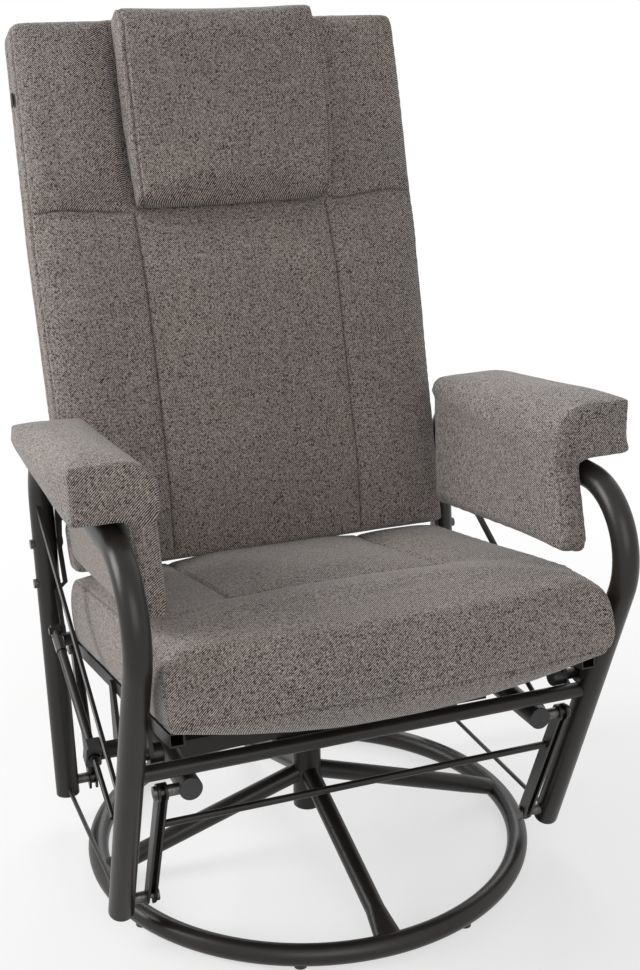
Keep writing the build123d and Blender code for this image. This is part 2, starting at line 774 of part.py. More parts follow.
def seat_nose():
    """Front of the cushion: rolled edge and hanging chin, bowed in plan."""
    roll_from = (-NOSE_JOIN, NOSE_TOP)
    roll_mid = (ROLL_MID[0] - SEAT_NOSE, ROLL_MID[1])
    roll_to = (ROLL_TO[0] - SEAT_NOSE, ROLL_TO[1])
    nose = (-SEAT_NOSE, NOSE_OUT)
    seam = (NOSE_SEAM[0] - SEAT_NOSE, NOSE_SEAM[1])
    chin = (CHIN_BACK - SEAT_NOSE, -SEAT_SIDE - CHIN_BELLY)
    chin_to = (-NOSE_JOIN, -SEAT_SIDE - SEAT_BELLY)
    bow_r = (SEAT_HALF**2 + SEAT_BOW**2) / (2 * SEAT_BOW)
    turn = degrees(asin(SEAT_HALF / bow_r)) + BOW_SPARE
    centre = SEAT.point(bow_r - SEAT_NOSE, 0) + Vector(0, SWIVEL_Y, 0)
    with BuildPart() as front:
        with BuildSketch(SEAT.side(0)):
            with BuildLine():
                ThreePointArc(roll_from, roll_mid, roll_to)
                ThreePointArc(roll_to, nose, seam)
                Polyline(seam, chin, chin_to, roll_from)
            make_face()
        revolve(axis=Axis(centre, SEAT.outward), revolution_arc=turn)
        mirror(about=Plane.YZ)
        extrude(seat_section(CHIN_BELLY), amount=SEAT_REAR + SEAT_NOSE, mode=Mode.INTERSECT)
    return front.part


def seat_cushion():
    """Crowned cushion with a bowed, rolled front and a sewn middle panel."""
    deep = -SEAT_SIDE - SEAT_BELLY
    front = -NOSE_JOIN - SEAM_R
    rear = SEAT_REAR - SEAT_REAR_ROUND
    with BuildPart() as cushion:
        with BuildSketch(SEAT.side(-SEAT_HALF)):
            with BuildLine():
                Polyline(
                    (rear, -SEAT_SIDE_TOP / 2),
                    (-NOSE_JOIN / 2, SEAT_CROWN),
                    (front, NOSE_TOP - SEATED),
                    (front, deep),
                    (rear, deep),
                )
                ThreePointArc((rear, deep), (SEAT_REAR, deep / 2), (rear, -SEAT_SIDE_TOP / 2))
            make_face()
        extrude(amount=2 * SEAT_HALF)
        extrude(seat_section(SEAT_BELLY), amount=SEAT_REAR + SEAT_NOSE, mode=Mode.INTERSECT)
        add(seat_nose())
        for x in (-SEAM_X, SEAM_X):
            with BuildSketch(SEAT.across(SEAT_REAR)):
                with Locations((x, 0)):
                    Circle(SEAM_R)
            extrude(amount=SEAT_REAR, mode=Mode.SUBTRACT)
        with BuildSketch(SEAT.side(-SEAM_X)):
            with Locations((0, SEAT_CROWN / 2)):
                Circle(SEAM_R)
        extrude(amount=2 * SEAM_X, mode=Mode.SUBTRACT)
        with BuildSketch(SEAT.across(SEAT_REAR)):
            with Locations((-RAIL_X, RAIL_TOP - RAIL_H / 2), (RAIL_X, RAIL_TOP - RAIL_H / 2)):
                Rectangle(RAIL_WIDTH + 2 * SEATED, RAIL_H + 2 * SEATED)
        extrude(amount=SEAT_REAR + RAIL_FRONT + SEATED, mode=Mode.SUBTRACT)
    return cushion


def seat_rail(side):
    """Rectangular tube under one side of the seat, let into the rear cross tube."""
    away = Vector(0, REAR_CROSS[0], REAR_CROSS[1]) - SEAT.start
    rear = away.dot(SEAT.rearward)
    with BuildPart() as rail:
        with BuildSketch(SEAT.across(rear)):
            with Locations((side * RAIL_X, RAIL_TOP - RAIL_H / 2)):
                Rectangle(RAIL_WIDTH, RAIL_H)
                Rectangle(RAIL_WIDTH - 2 * RAIL_WALL, RAIL_H - 2 * RAIL_WALL, mode=Mode.SUBTRACT)
        extrude(amount=rear + RAIL_FRONT)
        rod(REAR_CROSS, CROSS_R, side * FRAME_X, side * CARRIER_X, mode=Mode.SUBTRACT)
    return rail


def seat_straps():
    """Webbing straps from rail to rail, close under the cushion's belly."""
    top_end = underside(RAIL_X) - SEATED
    top_mid = underside(0) - SEATED
    low_end = top_end - STRAP_T
    low_mid = top_mid - STRAP_T
    with BuildPart() as straps:
        for count in range(STRAP_COUNT):
            rear = STRAP_FIRST + count * STRAP_PITCH + STRAP_WIDTH / 2
            with BuildSketch(SEAT.across(rear)):
                with BuildLine():
                    ThreePointArc((-RAIL_X, top_end), (0, top_mid), (RAIL_X, top_end))
                    Line((RAIL_X, top_end), (RAIL_X, low_end))
                    ThreePointArc((RAIL_X, low_end), (0, low_mid), (-RAIL_X, low_end))
                    Line((-RAIL_X, low_end), (-RAIL_X, top_end))
                make_face()
            extrude(amount=STRAP_WIDTH)
        for side in SIDES.values():
            with BuildSketch(SEAT.across(SEAT_REAR)):
                with Locations((side * RAIL_X, RAIL_TOP - RAIL_H / 2)):
                    Rectangle(RAIL_WIDTH, RAIL_H)
            extrude(amount=SEAT_REAR + RAIL_FRONT, mode=Mode.SUBTRACT)
    return straps


def hanger(side, place, radius):
    """Plate on the outside of a seat rail, hanging down to a round end at (y, z)."""
    down = Vector(0, place[0], place[1]) - SEAT.start
    root = SEAT.place(down.dot(SEAT.rearward), RAIL_TOP - RAIL_H / 2)
    with BuildSketch(side_plane(side * RAIL_OUTER)) as plate:
        with Locations(place):
            Circle(radius)
        with Locations(root):
            Circle(RAIL_H / 2)
        make_hull()
    return plate.sketch


def seat_hangers():
    """Plates that carry the knob bolts and the lock's stub tubes from the seat rails."""
    with BuildPart() as plates:
        for side in SIDES.values():
            extrude(hanger(side, KNOB, KNOB_R), amount=side * HANGER_T)
            extrude(hanger(side, BLOCK_PIVOT, LOCK_HANGER_R), amount=side * HANGER_T)
            rod(KNOB, PIN_R + RUNNING, side * RAIL_OUTER, side * HANGER_OUTER, mode=Mode.SUBTRACT)
    return plates


def seat_lugs():
    """Lugs welded to the backs of the front legs for the knob bolts."""
    with BuildPart() as lugs:
        for side in SIDES.values():
            with BuildSketch(side_plane(side * LUG_X)):
                with Locations(KNOB, (front_leg_y(KNOB[1]), KNOB[1])):
                    Circle(KNOB_R)
                make_hull()
            extrude(amount=side * LUG_T)
            rod(KNOB, PIN_R + RUNNING, side * LUG_X, side * (LUG_X + LUG_T), mode=Mode.SUBTRACT)
        for bar in FRAME_BARS.values():
            add(bar, mode=Mode.SUBTRACT)
    return lugs


def knob_bolts():
    """Bolts with round knobs that hold the seat rails to the lugs on the front legs."""
    with BuildPart() as bolts:
        for side in SIDES.values():
            rod(KNOB, KNOB_R, side * (RAIL_OUTER - KNOB_T), side * RAIL_OUTER)
            rim = bolts.edges(Select.LAST).filter_by(GeomType.CIRCLE).sort_by(Axis.X)[0 if side > 0 else -1]
            fillet(rim, radius=KNOB_ROUND)
            rod(KNOB, PIN_R, side * RAIL_OUTER, side * (LUG_X + LUG_T + PIN_HEAD_T))
            rod(KNOB, SPACER_R, side * HANGER_OUTER, side * LUG_X)
            rod(KNOB, PIN_HEAD_R, side * (LUG_X + LUG_T), side * (LUG_X + LUG_T + PIN_HEAD_T))
    return bolts


# ------------------------------------------------------------------ recline lock
def strut_plane(distance):
    """Plane across the left strut, at a distance from its eye, facing down the strut."""
    run = STRUT_RUN.normalized()
    origin = Vector(0, SWIVEL_Y + STRUT_EYE[0], STRUT_EYE[1]) + run * distance
    return Plane(origin=origin, x_dir=(1, 0, 0), z_dir=run)


def strut_bar(side, radius, start, end, mode=Mode.ADD):
    """Round bar along the strut between two distances from its eye."""
    with BuildSketch(strut_plane(start)) as disc:
        with Locations((side * STRUT_X, 0)):
            Circle(radius)
    extrude(disc.sketch, amount=end - start, mode=mode)


def strut_eye(side):
    """Round eye on the crank's pin, its bore left open."""
    rod(STRUT_EYE, EYE_R, side * (STRUT_X - CYLINDER_R), side * (STRUT_X + CYLINDER_R))


def strut_bore(side):
    outer = side * (STRUT_X + CYLINDER_R)
    rod(STRUT_EYE, EYE_PIN_R + RUNNING, side * (STRUT_X - CYLINDER_R), outer, mode=Mode.SUBTRACT)


def lock_cylinder():
    """Left strut: a cylinder as far as the block, and its thin rod below."""
    side = SIDES["left"]
    with BuildPart() as strut:
        strut_eye(side)
        strut_bar(side, CYLINDER_R, 0, STRUT_RUN.length + CYLINDER_PAST_BLOCK)
        strut_bar(side, ROD_R, 0, STRUT_LENGTH)
        strut_bore(side)
    return strut


def lock_collar():
    """Collar round the cylinder, close to its eye."""
    side = SIDES["left"]
    with BuildPart() as collar:
        strut_bar(side, COLLAR_R, COLLAR_AT, COLLAR_AT + COLLAR_LENGTH)
        strut_bar(side, CYLINDER_R, COLLAR_AT, COLLAR_AT + COLLAR_LENGTH, mode=Mode.SUBTRACT)
    return collar


def guide_rod():
    """Right strut: a thin rod on the same line as the left one."""
    side = SIDES["right"]
    with BuildPart() as strut:
        strut_eye(side)
        strut_bar(side, ROD_R, 0, STRUT_LENGTH)
        strut_bore(side)
    return strut


def guide_block(name, bore):
    """Block that the strut slides through, with a boss that turns in the stub tube."""
    side = SIDES[name]
    middle = STRUT_RUN.length
    with BuildPart() as block:
        with BuildSketch(strut_plane(middle - BLOCK_T / 2)):
            with Locations((side * STRUT_X, 0)):
                RectangleRounded(BLOCK_WIDTH, BLOCK_H, BLOCK_ROUND)
        extrude(amount=BLOCK_T)
        rod(BLOCK_PIVOT, BOSS_R, side * (BLOCK_INNER - BOSS_LENGTH), side * (BLOCK_INNER + SIDE_PLAY))
        strut_bar(side, bore, middle - BLOCK_T, middle + BLOCK_T, mode=Mode.SUBTRACT)
    return block


def stub_tubes():
    """Short tubes on the lock's hangers, in which the blocks turn."""
    with BuildPart() as stubs:
        for side in SIDES.values():
            end = side * (BLOCK_INNER - SEATED)
            rod(BLOCK_PIVOT, STUB_R, side * HANGER_OUTER, end)
            rod(BLOCK_PIVOT, BOSS_R + RUNNING, side * HANGER_OUTER, end, mode=Mode.SUBTRACT)
    return stubs


# ------------------------------------------------------------------ back
def half_width(u):
    """Half-width of the back at u, between its foot, its widest place and its top."""
    if u < BACK_WIDE_AT:
        share = (u - BACK_FOOT) / (BACK_WIDE_AT - BACK_FOOT)
        return BACK_FOOT_HALF + share * (BACK_HALF - BACK_FOOT_HALF)
    share = (u - BACK_WIDE_AT) / (BACK_HEIGHT - BACK_WIDE_AT)
    return BACK_HALF + share * (BACK_TOP_HALF - BACK_HALF)


def front_section():
    """Section of the front cushion in (x, rear): three crowned panels and rounded sides."""
    half = BACK_HALF + SEATED
    inner = half - BACK_SIDE_ROUND
    panel = (inner + BACK_SEAM_X) / 2
    corner = BACK_SIDE_ROUND * (1 - sqrt(0.5))
    with BuildSketch(BACK.plan(0)) as section:
        with BuildLine():
            Line((half, BACK_FRONT_T), (-half, BACK_FRONT_T))
            Line((-half, BACK_FRONT_T), (-half, BACK_SIDE_ROUND))
            ThreePointArc((-half, BACK_SIDE_ROUND), (corner - half, corner), (-inner, 0))
            ThreePointArc((-inner, 0), (-panel, -BACK_SIDE_CROWN), (-BACK_SEAM_X, -BACK_SEAM_OUT))
            ThreePointArc(
                (-BACK_SEAM_X, -BACK_SEAM_OUT), (0, -BACK_MID_CROWN), (BACK_SEAM_X, -BACK_SEAM_OUT)
            )
            ThreePointArc((BACK_SEAM_X, -BACK_SEAM_OUT), (panel, -BACK_SIDE_CROWN), (inner, 0))
            ThreePointArc((inner, 0), (half - corner, corner), (half, BACK_SIDE_ROUND))
            Line((half, BACK_SIDE_ROUND), (half, BACK_FRONT_T))
        make_face()
    return section.sketch


def rear_section():
    """Section of the rear pad in (x, rear): flat in front and crowned behind."""
    half = BACK_HALF + SEATED
    edge = BACK_FRONT_T + BACK_REAR_T - BACK_REAR_CROWN
    with BuildSketch(BACK.plan(0)) as section:
        with BuildLine():
            Polyline((-half, edge), (-half, BACK_FRONT_T), (half, BACK_FRONT_T), (half, edge))
            ThreePointArc((half, edge), (0, BACK_FRONT_T + BACK_REAR_T), (-half, edge))
        make_face()
    return section.sketch


def back_outline():
    """Front view of the back in (x, u), with its top corners rounded."""
    with BuildSketch(BACK.across(BACK_FRONT_T + BACK_REAR_T)) as outline:
        with BuildLine():
            Polyline(
                (-BACK_FOOT_HALF, BACK_FOOT),
                (-BACK_HALF, BACK_WIDE_AT),
                (-BACK_TOP_HALF, BACK_HEIGHT),
                (BACK_TOP_HALF, BACK_HEIGHT),
                (BACK_HALF, BACK_WIDE_AT),
                (BACK_FOOT_HALF, BACK_FOOT),
                close=True,
            )
        make_face()
        top = outline.vertices().group_by(Axis.Y)[-1]
        fillet(top, radius=BACK_CORNER_R)
    return outline.sketch


def back_profile():
    """Side view of the whole back in (rear, u): full below and above the seam across, rounded ends."""
    rear = BACK_FRONT_T + BACK_REAR_T + SEATED
    foot = (-FOOT_OUT, BACK_FOOT)
    waist = (-WAIST_OUT, CROSS_SEAM_U)
    top = (-TOP_OUT, BACK_HEIGHT)
    with BuildSketch(BACK.side(-BACK_HALF)) as profile:
        with BuildLine():
            ThreePointArc(foot, (-BACK_MID_CROWN, (BACK_FOOT + CROSS_SEAM_U) / 2), waist)
            ThreePointArc(waist, (-UPPER_OUT, (CROSS_SEAM_U + BACK_HEIGHT) / 2), top)
            Polyline(top, (rear, BACK_HEIGHT), (rear, BACK_FOOT), foot)
        make_face()
        ends = profile.vertices().group_by(Axis.Y)
        fillet(ends[0] + ends[-1], radius=BACK_EDGE_R)
    return profile.sketch


def back_cushion():
    """Front cushion of the back: three panels, a seam across the outer ones, a seat for the pillow."""
    depth = BACK_FRONT_T + BACK_REAR_T + BACK_MID_CROWN
    with BuildPart() as cushion:
        extrude(front_section(), amount=BACK_HEIGHT)
        extrude(back_outline(), amount=depth, mode=Mode.INTERSECT)
        extrude(back_profile(), amount=2 * BACK_HALF, mode=Mode.INTERSECT)
        with BuildSketch(BACK.across(0)):
            with Locations((0, (PILLOW_LOW + PILLOW_HIGH) / 2 - SEATED)):
                Rectangle(2 * (PILLOW_HALF + SEATED), PILLOW_HIGH - PILLOW_LOW)
        extrude(amount=BACK_MID_CROWN, mode=Mode.SUBTRACT)
        for side in SIDES.values():
            with BuildSketch(BACK.side(side * PILLOW_HALF)):
                with Locations((-WAIST_OUT, CROSS_SEAM_U)):
                    Circle(2 * SEAM_R)
            extrude(amount=side * (BACK_HALF - PILLOW_HALF), mode=Mode.SUBTRACT)
    return cushion


def hoop_points():
    """Route of the back's hoop in (x, u), from the cross tube up, over and down again."""
    return [
        (-HOOP_X, BACK_CROSS_U),
        (-HOOP_X, HOOP_TOP),
        (HOOP_X, HOOP_TOP),
        (HOOP_X, BACK_CROSS_U),
    ]


def back_hoop():
    """Bent tube inside the back, standing on the back's cross tube."""
    with BuildPart() as hoop:
        plane = BACK.across(HOOP_REAR)
        add(swept(hoop_points(), plane, HOOP_R, HOOP_BEND_R))
        add(swept(hoop_points(), plane, HOOP_R - HOOP_WALL, HOOP_BEND_R), mode=Mode.SUBTRACT)
        rod(BACK.place(BACK_CROSS_REAR, BACK_CROSS_U), CROSS_R, -FRAME_X, FRAME_X, mode=Mode.SUBTRACT)
    return hoop


def back_cross_tube():
    """Tube across the foot of the back, between the crank plates."""
    place = BACK.place(BACK_CROSS_REAR, BACK_CROSS_U)
    with BuildPart() as tube:
        rod(place, CROSS_R, -PLATE_INNER, PLATE_INNER)
        rod(place, CROSS_R - CROSS_WALL, -PLATE_INNER, PLATE_INNER, mode=Mode.SUBTRACT)
    return tube


def back_pad():
    """Rear half of the back's upholstery, grooved for the hoop and the cross tube."""
    depth = BACK_FRONT_T + BACK_REAR_T + BACK_MID_CROWN
    cross = [(-FRAME_X, BACK_CROSS_U), (FRAME_X, BACK_CROSS_U)]
    with BuildPart() as pad:
        extrude(rear_section(), amount=BACK_HEIGHT)
        extrude(back_outline(), amount=depth, mode=Mode.INTERSECT)
        extrude(back_profile(), amount=2 * BACK_HALF, mode=Mode.INTERSECT)
        hoop = swept(hoop_points(), BACK.across(HOOP_REAR), HOOP_R + SEATED, HOOP_BEND_R, square=True)
        add(hoop, mode=Mode.SUBTRACT)
        add(swept(cross, BACK.across(BACK_CROSS_REAR), CROSS_R + SEATED, square=True), mode=Mode.SUBTRACT)
    return pad


def headrest_pillow():
    """Pillow in front of the back's middle panel, rounded over the top and under its chin."""
    front = -PILLOW_T
    crown = front - PILLOW_CROWN
    top = PILLOW_HIGH - PILLOW_CROWN / 2
    roof = PILLOW_HIGH - PILLOW_TOP_R
    chin = PILLOW_LOW + PILLOW_CHIN
    rim = PILLOW_HALF - PILLOW_BOXING
    edge = front + PILLOW_CROWN / 2
    brow = (-PILLOW_TOP_R - PILLOW_TOP_FLAT, top)
    cheek = (edge, PILLOW_HIGH - PILLOW_SHOULDER)
    with BuildPart() as pillow:
        with BuildSketch(BACK.side(-PILLOW_HALF)):
            with BuildLine():
                Line((-SEATED, PILLOW_LOW), (-SEATED, roof))
                ThreePointArc((-SEATED, roof), (-PILLOW_TOP_R, top), brow)
                ThreePointArc(brow, (front, roof), cheek)
                ThreePointArc(cheek, (crown, PILLOW_HIGH - PILLOW_FULLEST), (front, chin))
                ThreePointArc(
                    (front, chin),
                    (front + PILLOW_CHIN / 3, PILLOW_LOW + PILLOW_CHIN_BACK),
                    (front + PILLOW_CHIN, PILLOW_LOW),
                )
                Line((front + PILLOW_CHIN, PILLOW_LOW), (-SEATED, PILLOW_LOW))
            make_face()
        extrude(amount=2 * PILLOW_HALF)
        with BuildSketch(BACK.plan(PILLOW_LOW)):
            with BuildLine():
                Line((rim, -SEATED), (-rim, -SEATED))
                ThreePointArc((-rim, -SEATED), (-PILLOW_HALF, -PILLOW_TOP_R), (-PILLOW_FRONT_HALF, edge))
                ThreePointArc((-PILLOW_FRONT_HALF, edge), (0, crown), (PILLOW_FRONT_HALF, edge))
                ThreePointArc((PILLOW_FRONT_HALF, edge), (PILLOW_HALF, -PILLOW_TOP_R), (rim, -SEATED))
            make_face()
        extrude(amount=PILLOW_HIGH - PILLOW_LOW, mode=Mode.INTERSECT)
    return pillow


def side_tag():
    """Small bare cloth tag on the left edge of the back."""
    x = -half_width(TAG_U)
    with BuildPart() as tag:
        with BuildSketch(BACK.side(x - TAG_T)):
            with Locations((BACK_SIDE_ROUND + TAG_DEPTH, TAG_U)):
                Rectangle(TAG_WIDTH, TAG_H)
        extrude(amount=2 * TAG_T)
        add(back_cushion().part, mode=Mode.SUBTRACT)
    return tag


def back_crank(side):
    """Plate from the back's cross tube to the hinge, running on as a joggled crank to the strut."""
    hinge = Vector(0, SWIVEL_Y + HINGE[0], HINGE[1])
    run = Vector(0, STRUT_EYE[0] - HINGE[0], STRUT_EYE[1] - HINGE[1])
    down = run.normalized()
    out = Vector(side, 0, 0)
    top = (PLATE_INNER + PLATE_OUTER) / 2
    shift = CRANK_T * tan(atan2(CRANK_LOW_X - top, JOG_LENGTH) / 2)
    half = CRANK_T / 2
    jog_to = JOG_FROM + JOG_LENGTH
    with BuildPart() as crank:
        with BuildSketch(side_plane(side * PLATE_INNER)):
            with Locations(BACK.place(BACK_CROSS_REAR, BACK_CROSS_U), HINGE):
                Circle(HINGE_EYE_R)
            make_hull()
        extrude(amount=side * CRANK_T)
        with BuildSketch(Plane(origin=hinge, x_dir=down, z_dir=down.cross(out))):
            with BuildLine():
                Polyline(
                    (0, top - half),
                    (JOG_FROM, top - half),
                    (jog_to, CRANK_LOW_X - half),
                    (run.length, CRANK_LOW_X - half),
                    (run.length, CRANK_LOW_X + half),
                    (jog_to - shift, CRANK_LOW_X + half),
                    (JOG_FROM - shift, top + half),
                    (0, top + half),
                    close=True,
                )
            make_face()
        extrude(amount=CRANK_WIDTH / 2, both=True)
        rod(STRUT_EYE, EYE_R, side * (CRANK_LOW_X - half), side * (CRANK_LOW_X + half))
        pin_end = STRUT_X + CYLINDER_R + SIDE_PLAY
        rod(STRUT_EYE, EYE_PIN_R, side * CRANK_LOW_X, side * pin_end)
        rod(STRUT_EYE, EYE_HEAD_R, side * pin_end, side * (pin_end + EYE_HEAD_T))
        rod(HINGE, PIN_R + RUNNING, side * PLATE_INNER, side * PLATE_OUTER, mode=Mode.SUBTRACT)
    return crank


# ------------------------------------------------------------------ arms
def arm_board(side):
    """Board on top of the arm tube, drilled from below for its bolts."""
    with BuildPart() as board:
        with BuildSketch(level(BOARD_Z)):
            with Locations((side * FRAME_X, (BOARD_FRONT + BOARD_REAR) / 2)):
                Rectangle(2 * TUBE_R, BOARD_REAR - BOARD_FRONT)
        extrude(amount=BOARD_T)
        with BuildSketch(level(BOARD_Z)):
            for y in ARM_BOLTS:
                with Locations((side * FRAME_X, y)):
                    Circle(ARM_BOLT_R + RUNNING)
        extrude(amount=ARM_BOLT_BITE + SIDE_PLAY, mode=Mode.SUBTRACT)
    return board


def arm_bolts():
    """Bolts up through the arm tubes into the boards, with heads saddled to the tube."""
    with BuildPart() as bolts:
        for side in SIDES.values():
            for y in ARM_BOLTS:
                with BuildSketch(level(ARM_Z - TUBE_R - BOLT_HEAD_T)):
                    with Locations((side * FRAME_X, y)):
                        Circle(BOLT_HEAD_R)
                extrude(amount=BOLT_HEAD_T + BOLT_HEAD_SINK)
        for bar in FRAME_BARS.values():
            add(bar, mode=Mode.SUBTRACT)
        for side in SIDES.values():
            for y in ARM_BOLTS:
                with BuildSketch(level(ARM_Z - TUBE_R)):
                    with Locations((side * FRAME_X, y)):
                        Circle(ARM_BOLT_R)
                extrude(amount=2 * TUBE_R + ARM_BOLT_BITE)
    return bolts


def pad_section(side, y, thick, inner_r, outer_r, low_r):
    """Section across one arm pad at y, rounded on top and at the low outer corner."""
    inner = side * (FRAME_X - PAD_IN)
    outer = side * (FRAME_X + PAD_OUT)
    face = Plane(origin=(0, SWIVEL_Y + y, PAD_Z), x_dir=(1, 0, 0), z_dir=(0, -1, 0))
    with BuildSketch(face) as section:
        with BuildLine():
            Polyline((inner, 0), (inner, thick), (outer, thick), (outer, 0), close=True)
        make_face()
        top = section.vertices().group_by(Axis.Y)[-1].sort_by(Axis.X)
        low = section.vertices().group_by(Axis.Y)[0].sort_by(Axis.X)
        fillet(top[0] if side > 0 else top[-1], radius=inner_r)
        fillet(top[-1] if side > 0 else top[0], radius=outer_r)
        fillet(low[-1] if side > 0 else low[0], radius=low_r)
    return section.sketch


def arm_pad(side):
    """Upholstered arm: a pad that thins to the rear and a flap that hangs inside the tube."""
    flap_outer = side * (FRAME_INNER - FLAP_PLAY)
    front = pad_section(side, PAD_FRONT, PAD_FRONT_T, PAD_FRONT_IN_R, PAD_FRONT_R, PAD_FRONT_LOW_R)
    rear = pad_section(side, PAD_REAR, PAD_REAR_T, PAD_REAR_IN_R, PAD_REAR_R, PAD_REAR_LOW_R)
    with BuildPart() as pad:
        loft([front, rear])
        ends = pad.faces().filter_by(Axis.Y)
        fillet(ends.edges().filter_by(lambda edge: edge.center().Z > PAD_Z + PAD_END_R), radius=PAD_END_R)
        with BuildSketch(side_plane(flap_outer)) as flap:
            with BuildLine():
                Polyline(
                    (FLAP_TOP_FRONT, PAD_Z),
                    FLAP_LOW_FRONT,
                    FLAP_LOW_MID,
                    FLAP_LOW_REAR,
                    (FLAP_TOP_REAR, PAD_Z),
                    close=True,
                )
            make_face()
            fillet(flap.vertices().sort_by(Axis.Y)[:3], radius=FLAP_CORNER_R)
        extrude(amount=-side * FLAP_T)
    return pad


# ------------------------------------------------------------------ writing the pieces
def save(piece, label):
    """Labels a finished piece and writes its file."""
    piece.part.label = label
    export_step(piece.part, f"parts/{label}.step")


def save_base():
    save(base_ring(), "base_ring")
    save(floor_feet(), "floor_feet")
    for label, angle in (("front", -90), ("right", 0), ("rear", 90), ("left", 180)):
        save(spider_arm(angle), f"spider_arm_{label}")
    save(hub_socket(), "hub_socket")
    save(thrust_washer(), "thrust_washer")


def save_carrier():
    save(swivel_post(), "swivel_post")
    save(carrier_plate(), "carrier_plate")
    save(carrier_beam(-BEAM_Y), "carrier_beam_front")
    save(carrier_beam(BEAM_Y), "carrier_beam_rear")
    save(carrier_caps(), "carrier_caps")
    save(top_pins(), "link_pins_top")
    save(link_rod(), "link_rod")
    for name, side in SIDES.items():
        save(carrier_tube(side), f"carrier_tube_{name}")
        save(link(side, FRONT_PIVOT, FRONT_FOOT, PIN_R + RUNNING), f"link_front_{name}")
        save(link(side, REAR_PIVOT, REAR_FOOT, SLACK_R), f"link_rear_{name}")


def save_frame():
    for name in SIDES:
        save(side_frame(name), f"side_frame_{name}")
        save(stretcher(name), f"stretcher_{name}")
        save(side_brace(name), f"side_brace_{name}")
    save(leg_plugs(), "leg_plugs")
    save(foot_pins(), "link_pins_foot")
    save(cross_tube(FRONT_CROSS), "cross_tube_front")
    save(cross_tube(REAR_CROSS), "cross_tube_rear")
    save(leg_bolts(), "leg_bolts")


def save_seat():
    save(seat_cushion(), "seat_cushion")
    save(seat_straps(), "seat_straps")
    save(seat_hangers(), "seat_hangers")
    save(seat_lugs(), "seat_lugs")
    save(knob_bolts(), "knob_bolts")
    for name, side in SIDES.items():
        save(seat_rail(side), f"seat_rail_{name}")
        save(arm_board(side), f"arm_board_{name}")
        save(arm_pad(side), f"arm_pad_{name}")
    save(arm_bolts(), "arm_bolts")


def save_lock():
    save(lock_cylinder(), "lock_cylinder")
    save(lock_collar(), "lock_collar")
    save(guide_rod(), "guide_rod")
    save(guide_block("left", CYLINDER_R + BLOCK_SLACK), "guide_block_left")
    save(guide_block("right", ROD_R + BLOCK_SLACK), "guide_block_right")
    save(stub_tubes(), "stub_tubes")


def save_back():
    save(back_cushion(), "back_cushion")
    save(back_pad(), "back_pad")
    save(back_hoop(), "back_hoop")
    save(back_cross_tube(), "back_cross_tube")
    save(headrest_pillow(), "headrest_pillow")
    save(side_tag(), "side_tag")
    for name, side in SIDES.items():
        save(back_crank(side), f"back_crank_{name}")


os.makedirs("parts", exist_ok=True)
save_base()
save_carrier()
save_frame()
save_seat()
save_lock()
save_back()
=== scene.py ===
"""Looks of a swivel glider recliner: upholstery, finishes, floor, light and camera over its fixed frame."""

import logging
import math
from dataclasses import dataclass, field
from enum import Enum
from typing import Iterable, Sequence

import bmesh
import bpy
import numpy as np
from mathutils import Matrix, Vector, noise
from mathutils.bvhtree import BVHTree
from mathutils.kdtree import KDTree

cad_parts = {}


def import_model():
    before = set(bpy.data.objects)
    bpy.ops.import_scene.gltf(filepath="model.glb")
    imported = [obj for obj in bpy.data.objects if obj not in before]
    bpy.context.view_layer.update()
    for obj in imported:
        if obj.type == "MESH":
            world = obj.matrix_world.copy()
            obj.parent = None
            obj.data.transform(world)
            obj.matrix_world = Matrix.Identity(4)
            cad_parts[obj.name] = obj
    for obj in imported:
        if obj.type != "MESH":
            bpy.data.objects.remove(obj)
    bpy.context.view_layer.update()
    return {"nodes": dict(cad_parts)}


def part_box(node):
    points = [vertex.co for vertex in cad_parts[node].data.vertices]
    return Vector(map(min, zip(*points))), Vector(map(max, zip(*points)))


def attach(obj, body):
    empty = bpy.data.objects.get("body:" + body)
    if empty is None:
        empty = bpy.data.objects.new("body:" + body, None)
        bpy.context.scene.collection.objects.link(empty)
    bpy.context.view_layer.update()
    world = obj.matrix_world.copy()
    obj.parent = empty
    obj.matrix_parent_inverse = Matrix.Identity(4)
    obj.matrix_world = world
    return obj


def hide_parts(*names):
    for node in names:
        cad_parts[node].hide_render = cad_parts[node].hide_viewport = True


Colour = tuple[float, float, float]
Spot = tuple[float, float, float]
Socket = bpy.types.NodeSocket
Array = np.ndarray
Material = bpy.types.Material
Object = bpy.types.Object
Objects = dict[str, Object]

FINE_REACH = 0.0075  # how far from a sewn line the mesh is made finer
SEAM_REACH = 0.035  # how far a seam can pull the cover
GRIP_REACH = 0.03  # how far a held seam is looked for, and where its grip starts and ends
GRIP_FADE = (0.002, 0.0055)

CLOTH = {
    "quality": 5, "mass": 0.3, "tension_stiffness": 8, "compression_stiffness": 8, "shear_stiffness": 5,
    "bending_stiffness": 0.5, "use_pressure": True, "uniform_pressure_force": 9,
}

log = logging.getLogger("recliner")


